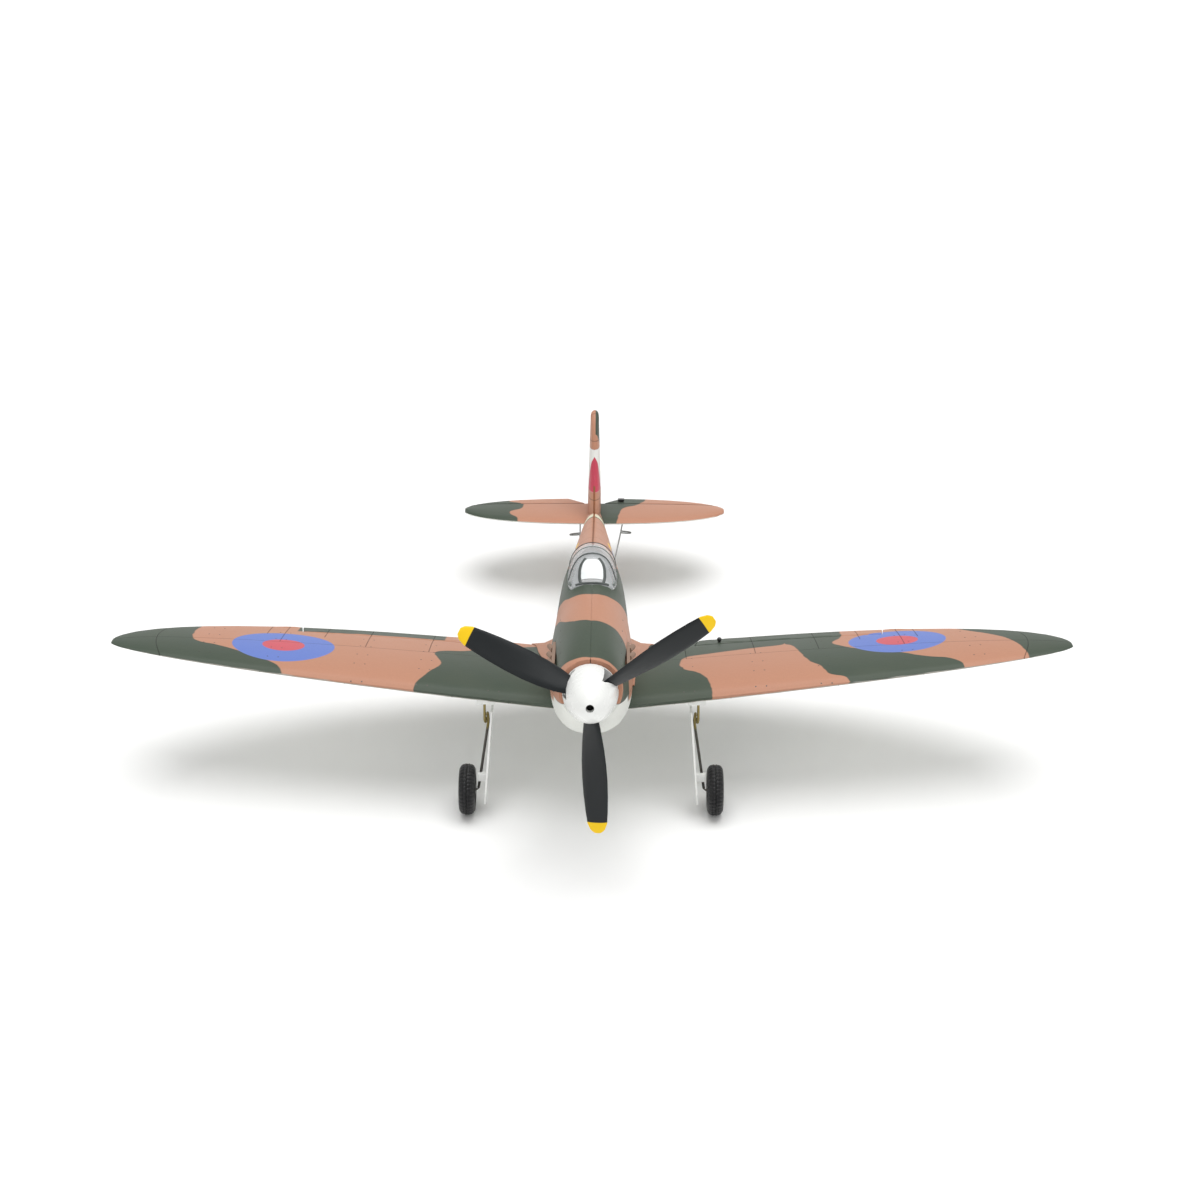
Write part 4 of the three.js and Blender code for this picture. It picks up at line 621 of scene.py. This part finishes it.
def shade(mesh, degrees):
    mesh.shade_smooth()
    mesh.set_sharp_from_angle(angle=math.radians(degrees))


MOST_LIFT = 0.13  # of an edge's length, so that long thin triangles stay flat


def rounded(mesh, degrees, level):
    """The same mesh with each triangle curved to fit its corner normals; edges over degrees stay straight."""
    shade(mesh, degrees)
    count = len(mesh.polygons)
    corner = np.zeros(count * 3, int)
    mesh.loops.foreach_get("vertex_index", corner)
    edge_of = np.zeros(count * 3, int)
    mesh.loops.foreach_get("edge_index", edge_of)
    co = np.zeros(len(mesh.vertices) * 3)
    mesh.vertices.foreach_get("co", co)
    points = co.reshape(-1, 3)[corner].reshape(-1, 3, 3)
    normals = np.zeros(count * 9)
    mesh.corner_normals.foreach_get("vector", normals)
    normals = normals.reshape(-1, 3, 3)
    sharp = np.zeros(len(mesh.edges), bool)
    if "sharp_edge" in mesh.attributes:
        mesh.attributes["sharp_edge"].data.foreach_get("value", sharp)
    uses = np.bincount(edge_of, minlength=len(mesh.edges))
    straight = (sharp | (uses != 2))[edge_of].reshape(-1, 3)
    third = {}
    for i in range(3):
        for j in ((i + 1) % 3, (i + 2) % 3):
            edge = i if j == (i + 1) % 3 else j
            lift = ((points[:, j] - points[:, i]) * normals[:, i]).sum(1, keepdims=True) * normals[:, i]
            length = np.linalg.norm(points[:, j] - points[:, i], axis=1, keepdims=True)
            height = np.linalg.norm(lift, axis=1, keepdims=True)
            lift *= np.minimum(1.0, MOST_LIFT * length / np.maximum(height, 1e-9))
            lift[straight[:, edge]] = 0
            third[i, j] = (2 * points[:, i] + points[:, j] - lift) / 3
    middle = sum(third.values()) / 6
    middle = middle + (middle - points.mean(1)) / 2
    spots = [(a, b, level - a - b) for a in range(level + 1) for b in range(level + 1 - a)]
    index = {s[:2]: i for i, s in enumerate(spots)}
    made = []
    for spot in spots:
        u, v, w = (s / level for s in spot)
        p = u**3 * points[:, 0] + v**3 * points[:, 1] + w**3 * points[:, 2] + 6 * u * v * w * middle
        for (i, j), q in third.items():
            k = (u, v, w)
            p = p + 3 * k[i] ** 2 * k[j] * q
        made.append(p)
    verts = np.stack(made, 1).reshape(-1, 3)
    small = []
    for a in range(level):
        for b in range(level - a):
            small.append((index[a + 1, b], index[a, b + 1], index[a, b]))
            if a + b < level - 1:
                small.append((index[a + 1, b], index[a + 1, b + 1], index[a, b + 1]))
    faces = (np.arange(count)[:, None, None] * len(spots) + np.array(small)[None]).reshape(-1, 3)
    name = mesh.name
    bpy.data.meshes.remove(mesh)
    fine = bpy.data.meshes.new(name)
    fine.from_pydata(verts.tolist(), [], faces.tolist())
    bm = bmesh.new()
    bm.from_mesh(fine)
    bmesh.ops.remove_doubles(bm, verts=bm.verts, dist=1e-6)
    bmesh.ops.dissolve_degenerate(bm, dist=1e-7, edges=bm.edges)
    bm.to_mesh(fine)
    bm.free()
    shade(fine, degrees)
    return fine


def piece(name, mesh, material, body):
    made = bpy.data.objects.new(name, mesh)
    bpy.context.scene.collection.objects.link(made)
    mesh.materials.clear()
    mesh.materials.append(material)
    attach(made, body)
    return made


def skin(node, material, degrees=32, level=2, bevel_mm=0.0):
    """A smooth, finished piece that stands for the CAD node of the same shape."""
    mesh = welded(node)
    if level > 1:
        mesh = rounded(mesh, degrees, level)
    else:
        shade(mesh, degrees)
    made = piece(node + "_skin", mesh, MAT[material], BODY_OF[node])
    if bevel_mm:
        bm = bmesh.new()
        bm.from_mesh(mesh)
        bmesh.ops.dissolve_limit(bm, angle_limit=math.radians(1.0), verts=bm.verts, edges=bm.edges)
        bm.to_mesh(mesh)
        bm.free()
        shade(mesh, degrees)
        edge = made.modifiers.new("edges", "BEVEL")
        edge.width = bevel_mm / 1000
        edge.segments = 2
        edge.limit_method = "ANGLE"
        edge.angle_limit = math.radians(40)
        edge.harden_normals = True
    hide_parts(node)
    return made


for name in ("wing_left", "wing_right", "aileron_left", "aileron_right"):
    skin(name, "wing", 30, 4)
for name in ("fuselage_left", "fuselage_right"):
    skin(name, "body", 32, 3)
skin("stabilizer", "tail", 30, 4)
skin("fin", "fin", 32, 4)
HINGE_SHARP = 20  # degrees, so that the moving surfaces keep their clearance at the hinge
for name in ("elevator_left", "elevator_right"):
    skin(name, "tail", HINGE_SHARP, 4)
skin("rudder", "fin", HINGE_SHARP, 4)
skin("battery_hatch", "belly", 30, 2)
skin("spinner", "white", 34, 3)
skin("spinner_backplate", "white", 34, 1, 0.12)
skin("propeller", "propeller", 40, 3)
skin("canopy", "clear", 40, 3)
skin("cockpit_tub", "tub", 30, 1, 0.25)
for side in ("left", "right"):
    skin(f"exhaust_stacks_{side}", "exhaust", 36, 1, 0.15)
    skin(f"gear_leg_{side}", "leg_wire", 60, 1)
    skin(f"gear_leg_root_{side}", "brass_wire", 60, 1)
    skin(f"gear_door_{side}", "white", 30, 1, 0.15)
    skin(f"gear_mount_{side}", "white", 30, 1, 0.2)
    skin(f"wheel_hub_{side}", "black", 34, 3)
    skin(f"aileron_horn_{side}", "black", 34, 1, 0.1)
    skin(f"aileron_servo_{side}", "servo", 30, 1, 0.3)
    skin(f"aileron_servo_arm_{side}", "white", 34, 1, 0.1)
    skin(f"aileron_pushrod_{side}", "wire", 60, 1)
for name in ("elevator_pushrod", "rudder_pushrod", "elevator_joiner", "tail_strut"):
    skin(name, "wire", 60, 1)
for name in ("elevator_horn", "rudder_horn"):
    skin(name, "black", 34, 1, 0.1)
for name in ("elevator_servo", "rudder_servo"):
    skin(name, "servo", 30, 1, 0.3)
for name in ("elevator_servo_arm", "rudder_servo_arm"):
    skin(name, "white", 34, 1, 0.1)
skin("prop_screw", "dark_wire", 34, 3)
skin("prop_shaft", "wire", 34, 3)
skin("motor_bell", "alloy", 34, 1, 0.12)
skin("motor_stator", "windings", 34, 1, 0.1)
skin("wing_spar", "carbon", 40, 3)
skin("firewall", "wood", 30, 1, 0.12)
skin("radio_tray", "wood", 30, 1, 0.12)
skin("receiver", "board", 30, 1, 0.15)
skin("battery", "wrap", 30, 1, 0.8)
skin("tail_wheel", "rubber", 34, 3)


def lathe(name, profile, centre, material, body, steps=96, wave=None):
    """A ring about the X axis through centre. profile is closed (radius, x) pairs in mm; wave lifts points."""
    bm = bmesh.new()
    rings = []
    for k in range(steps):
        a = 2 * math.pi * k / steps
        ring = []
        for i, (r, x) in enumerate(profile):
            rr = r + (wave(k, r, x) if wave else 0)
            ring.append(bm.verts.new(centre + Vector((x, rr * math.cos(a), rr * math.sin(a))) / 1000))
        rings.append(ring)
    n = len(profile)
    for k in range(steps):
        one, two = rings[k], rings[(k + 1) % steps]
        for i in range(n):
            bm.faces.new((one[i], one[(i + 1) % n], two[(i + 1) % n], two[i]))
    bmesh.ops.recalc_face_normals(bm, faces=bm.faces)
    mesh = bpy.data.meshes.new(name)
    bm.to_mesh(mesh)
    bm.free()
    shade(mesh, 38)
    return piece(name, mesh, material, body)


def tread_wave(k, r, x):
    """Cross ribs on the outer part of the tyre."""
    if r < 9.4:
        return 0.0
    phase = (k + (2 if x > 0 else 0)) % 4
    return -0.32 if phase < 1 else 0.0


RADIUS = 10.55
TYRE = [(6.45, -2.7), (7.0, -3.15), (7.9, -3.3), (8.6, -3.22), (9.2, -2.9), (9.55, -2.62), (9.72, -2.6),
        (9.95, -2.3), (10.2, -1.9), (10.38, -1.4), (10.2, -1.28), (10.2, -1.08), (10.5, -0.96),
        (RADIUS, -0.42), (10.3, -0.32), (10.3, -0.14), (RADIUS, -0.04)]
TYRE = TYRE + [(r, -x) for r, x in reversed(TYRE)] + [(6.4, 2.0), (6.4, -2.0)]
for side in ("left", "right"):
    centre = Vector(JOINTS[f"main_wheel_{side}_roll"]["pos_m"])
    tyre = lathe(f"tyre_{side}_rubber", TYRE, centre, MAT["rubber"], f"main_wheel_{side}",
                 steps=144, wave=tread_wave)
    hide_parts(f"tyre_{side}")


# ---------------------------------------------------------------- raised detail

def surface(*names):
    """The skins' faces, to lay detail on."""
    verts, faces = [], []
    for name in names:
        mesh = bpy.data.objects[name + "_skin"].data
        base = len(verts)
        verts += [v.co.copy() for v in mesh.vertices]
        faces += [tuple(base + i for i in p.vertices) for p in mesh.polygons]
    return BVHTree.FromPolygons(verts, faces)


def dropped(tree, origin, direction):
    """Where a line from origin, in mm in the aircraft's axes, meets the surface, and the surface's normal."""
    start = row(*origin)
    way = (row(*(Vector(origin) + Vector(direction))) - start).normalized()
    hit, normal, _, _ = tree.ray_cast(start, way)
    if hit is None:
        return None, None
    if normal.dot(way) > 0:
        normal = -normal
    return hit, normal


def studs(name, tree, spots, material, body, radius=0.38, height=0.14):
    """Small screw heads or rivets laid on a surface."""
    bm = bmesh.new()
    for origin, direction in spots:
        hit, normal = dropped(tree, origin, direction)
        if hit is None:
            continue
        side = normal.orthogonal().normalized()
        other = normal.cross(side)
        rings = []
        for share, rise in ((1.0, -0.1), (1.0, 0.45), (0.8, 0.85), (0.35, 1.0)):
            ring = []
            for k in range(12):
                a = math.pi * k / 6
                out = (side * math.cos(a) + other * math.sin(a)) * radius * share
                ring.append(bm.verts.new(hit + (out + normal * height * rise) / 1000))
            rings.append(ring)
        for one, two in zip(rings, rings[1:]):
            for k in range(12):
                bm.faces.new((one[k], one[(k + 1) % 12], two[(k + 1) % 12], two[k]))
        bm.faces.new(rings[-1])
        bm.faces.new(list(reversed(rings[0])))
    mesh = bpy.data.meshes.new(name)
    bm.to_mesh(mesh)
    bm.free()
    shade(mesh, 40)
    return piece(name, mesh, material, body)


def ribbon(name, tree, path, width, height, material, body, towards=None, steps=40):
    """A raised flat strip along a path on the canopy. path holds (y, angle) pairs; each is thrown outward."""
    points, normals = [], []
    for i in range(steps + 1):
        t = i / steps * (len(path) - 1)
        k = min(int(t), len(path) - 2)
        y0, a0 = path[k]
        y1, a1 = path[k + 1]
        y, a = y0 + (y1 - y0) * (t - k), a0 + (a1 - a0) * (t - k)
        origin = Vector((0, y, 17.5))
        way = Vector((math.sin(math.radians(a)), 0, math.cos(math.radians(a))))
        hit, normal = dropped(tree, origin + way * 30, -way)
        if hit is None:
            continue
        points.append(hit)
        normals.append(normal)
    bm = bmesh.new()
    rows = []
    for i, (p, n) in enumerate(zip(points, normals)):
        along = (points[min(i + 1, len(points) - 1)] - points[max(i - 1, 0)]).normalized()
        across = n.cross(along).normalized()
        edge = height * 0.6
        section = ((-1, -0.12), (-1, edge), (-0.75, height), (0.75, height), (1, edge), (1, -0.12))
        rows.append([bm.verts.new(p + (across * s * width / 2 + n * h) / 1000) for s, h in section])
    for one, two in zip(rows, rows[1:]):
        for k in range(6):
            bm.faces.new((one[k], one[(k + 1) % 6], two[(k + 1) % 6], two[k]))
    bm.faces.new(rows[0])
    bm.faces.new(list(reversed(rows[-1])))
    bmesh.ops.recalc_face_normals(bm, faces=bm.faces)
    mesh = bpy.data.meshes.new(name)
    bm.to_mesh(mesh)
    bm.free()
    shade(mesh, 40)
    return piece(name, mesh, material, body)


glazing = surface("canopy")
SCREEN_EDGE = [(112.3, 67), (115.3, 45), (118.4, 29), (120.6, 14.5)]
BOW = [(119.5, 88), (118.6, 72), (121.0, 50), (123.1, 32), (123.6, 20)]
for side, sign in (("left", 1), ("right", -1)):
    ribbon(f"windscreen_frame_{side}", glazing, [(y, sign * a) for y, a in SCREEN_EDGE], 1.2, 0.2,
           MAT["dark_frame"], "airframe")
    rail = [(y, sign * 86) for y in (113.2, 130, 148.4)]
    ribbon(f"canopy_rail_{side}", glazing, rail, 1.1, 0.18, MAT["frame"], "airframe", steps=50)
whole_bow = [(y, -a) for y, a in BOW] + [(123.8, 0)] + [(y, a) for y, a in reversed(BOW)]
ribbon("canopy_bow_front", glazing, whole_bow, 1.0, 0.22, MAT["dark_frame"], "airframe",
       steps=60)
ribbon("canopy_bow_rear", glazing, [(146.8, -88), (146.8, 0), (146.8, 88)], 1.4, 0.22, MAT["dark_frame"],
       "airframe", steps=60)
ribbon("canopy_bow_middle", glazing, [(133.5, -88), (133.5, 0), (133.5, 88)], 0.7, 0.16, MAT["frame"],
       "airframe", steps=60)


def reflection_sheet(name, tree, edge, inset, y_range, material, body, columns=16, layers=10):
    """A thin sheet on the glazing between the two windscreen frames, which carries the painted reflection. edge
    holds (y, angle) pairs.
    """
    def half(y):
        for (y0, a0), (y1, a1) in zip(edge, edge[1:]):
            if y <= y1:
                return a0 + (a1 - a0) * (y - y0) / (y1 - y0)
        return edge[-1][1]

    bm = bmesh.new()
    sheets = []
    for rise in (0.03, 0.12):
        sheet = []
        for r in range(layers + 1):
            y = y_range[0] + (y_range[1] - y_range[0]) * r / layers
            line = []
            for c in range(columns + 1):
                a = math.radians((half(y) - inset) * (2 * c / columns - 1))
                way = Vector((math.sin(a), 0, math.cos(a)))
                hit, normal = dropped(tree, Vector((0, y, 17.5)) + way * 30, -way)
                line.append(bm.verts.new(hit + normal * rise / 1000))
            sheet.append(line)
        sheets.append(sheet)
    low, high = sheets
    for r in range(layers):
        for c in range(columns):
            bm.faces.new((low[r][c], low[r][c + 1], low[r + 1][c + 1], low[r + 1][c]))
            bm.faces.new((high[r][c], high[r + 1][c], high[r + 1][c + 1], high[r][c + 1]))
    rim = [(0, c) for c in range(columns)] + [(r, columns) for r in range(layers)]
    rim += [(layers, c) for c in range(columns, 0, -1)] + [(r, 0) for r in range(layers, 0, -1)]
    for (r0, c0), (r1, c1) in zip(rim, rim[1:] + rim[:1]):
        bm.faces.new((low[r0][c0], high[r0][c0], high[r1][c1], low[r1][c1]))
    bmesh.ops.recalc_face_normals(bm, faces=bm.faces)
    mesh = bpy.data.meshes.new(name)
    bm.to_mesh(mesh)
    bm.free()
    shade(mesh, 40)
    return piece(name, mesh, material, body)


# painted reflection: a white sheet laid on the windscreen's front panel stands for the light the glass reflects
reflection_sheet("windscreen_reflection_sheet", glazing, SCREEN_EDGE, 5.0, (113.2, 119.8), MAT["reflection_sheet"], "airframe")
ribbon("canopy_foot", glazing, [(112.0, -82), (112.0, 0), (112.0, 82)], 0.9, 0.2, MAT["dark_frame"],
       "airframe")


def seam_filler(name, ys, from_z, down):
    """Painted filler that closes the joint between the two foam halves, a little below the surface."""
    tree = surface("fuselage_left")
    bm = bmesh.new()
    rings = []
    for y in ys:
        hit, _ = dropped(tree, (0.35, y, from_z), (0, 0, down))
        if hit is None:
            continue
        z = (TO_ROW.inverted() @ hit).z
        rings.append([bm.verts.new(row(x, y, z + down * deep)) for x, deep in
                      ((-0.12, 0.07), (0.12, 0.07), (0.12, 0.9), (-0.12, 0.9))])
    for one, two in zip(rings, rings[1:]):
        for k in range(4):
            bm.faces.new((one[k], one[(k + 1) % 4], two[(k + 1) % 4], two[k]))
    bm.faces.new(rings[0])
    bm.faces.new(list(reversed(rings[-1])))
    bmesh.ops.recalc_face_normals(bm, faces=bm.faces)
    mesh = bpy.data.meshes.new(name)
    bm.to_mesh(mesh)
    bm.free()
    return piece(name, mesh, MAT["body"], "airframe")


seam_filler("nose_seam_filler", [25.5 + 2 * i for i in range(43)], 60, -1)
seam_filler("spine_seam_filler", [152 + 2 * i for i in range(53)], 60, -1)
seam_filler("belly_seam_filler", [182 + 2 * i for i in range(56)], -60, 1)

# screw heads: in pairs beside each wing groove, and along the cowl and rear fuselage
BODY_SCREWS = ((34, 7), (46, 8.5), (58, 9.5), (72, 10), (88, 10), (160, 8), (178, 7), (212, 7), (232, 7))
for side, sign in (("left", 1), ("right", -1)):
    spots = [((sign * (x + dx), y, 40), (0, 0, -1)) for x in (40, 69.3, 96, 131.8, 160) for dx in (-2.2, 2.2)
             for y in (84, 98, 110, 124, 138)]
    studs(f"wing_screws_{side}", surface(f"wing_{side}"), spots, MAT["dark_wire"], "airframe",
          radius=0.32, height=0.09)
    spots = [((sign * 40, y, z), (-sign, 0, 0)) for y, z in BODY_SCREWS]
    studs(f"fuselage_screws_{side}", surface(f"fuselage_{side}"), spots, MAT["dark_wire"], "airframe",
          radius=0.34, height=0.1)


# ---------------------------------------------------------------- studio

WORLD_POWER = 0.5
SKY_POWER = 2.3
SKY_SPREAD = 55  # degrees, which sets how soft the shadow is
FLOOR_HALF = 9.0
CAMERA_PLACE = (0.0060, -0.9263, 0.5421)
CAMERA_LOOK = (-0.0027, 0.8826, -0.4701)
CAMERA_LENS = 71.6
CAMERA_ROLL = 0.13  # degrees


def studio():
    scene = bpy.context.scene
    mesh = bpy.data.meshes.new("floor")
    far = FLOOR_HALF
    mesh.from_pydata([(-far, -far, 0), (far, -far, 0), (far, far, 0), (-far, far, 0)], [], [(0, 1, 2, 3)])
    floor = bpy.data.objects.new("floor", mesh)
    scene.collection.objects.link(floor)
    g = Graph("floor_paper")
    grain = g.noise(40, 2.0)
    mesh.materials.append(g.finish(g.mix(g.mul(grain, 0.1), (0.93, 0.93, 0.925, 1), (0.9, 0.9, 0.9, 1)), 0.7,
                                   Specular_IOR_Level=0.2))
    world = bpy.data.worlds.new("studio")
    world.use_nodes = True
    world.node_tree.nodes["Background"].inputs[0].default_value = (1, 1, 1, 1)
    world.node_tree.nodes["Background"].inputs[1].default_value = WORLD_POWER
    scene.world = world

    def lamp(name, place, aim, size, power):
        data = bpy.data.lights.new(name, "AREA")
        data.shape = "RECTANGLE"
        data.size, data.size_y = size
        data.energy = power
        made = bpy.data.objects.new(name, data)
        made.location = place
        made.rotation_euler = (Vector(aim) - Vector(place)).to_track_quat("-Z", "Y").to_euler()
        scene.collection.objects.link(made)

    sky = bpy.data.lights.new("overhead_light", "SUN")
    sky.energy = SKY_POWER
    sky.angle = math.radians(SKY_SPREAD)
    overhead = bpy.data.objects.new("overhead_light", sky)
    overhead.rotation_euler = (math.radians(-8), math.radians(4), 0)
    scene.collection.objects.link(overhead)
    lamp("front_softbox", (-0.5, -1.3, 1.1), (0, -0.02, 0.05), (1.0, 0.8), 2.8)
    lamp("right_softbox", (1.3, -0.5, 0.9), (0, 0, 0.05), (0.8, 0.8), 1.2)

    data = bpy.data.cameras.new("camera")
    data.lens = CAMERA_LENS
    data.sensor_width = 36
    data.clip_start, data.clip_end = 0.02, 30
    camera = bpy.data.objects.new("camera", data)
    camera.location = CAMERA_PLACE
    look = Vector(CAMERA_LOOK).to_track_quat("-Z", "Y")
    camera.rotation_mode = "QUATERNION"
    camera.rotation_quaternion = look @ Matrix.Rotation(math.radians(CAMERA_ROLL), 3, "Z").to_quaternion()
    scene.collection.objects.link(camera)
    scene.camera = camera
    scene.view_settings.view_transform = "Standard"


studio()
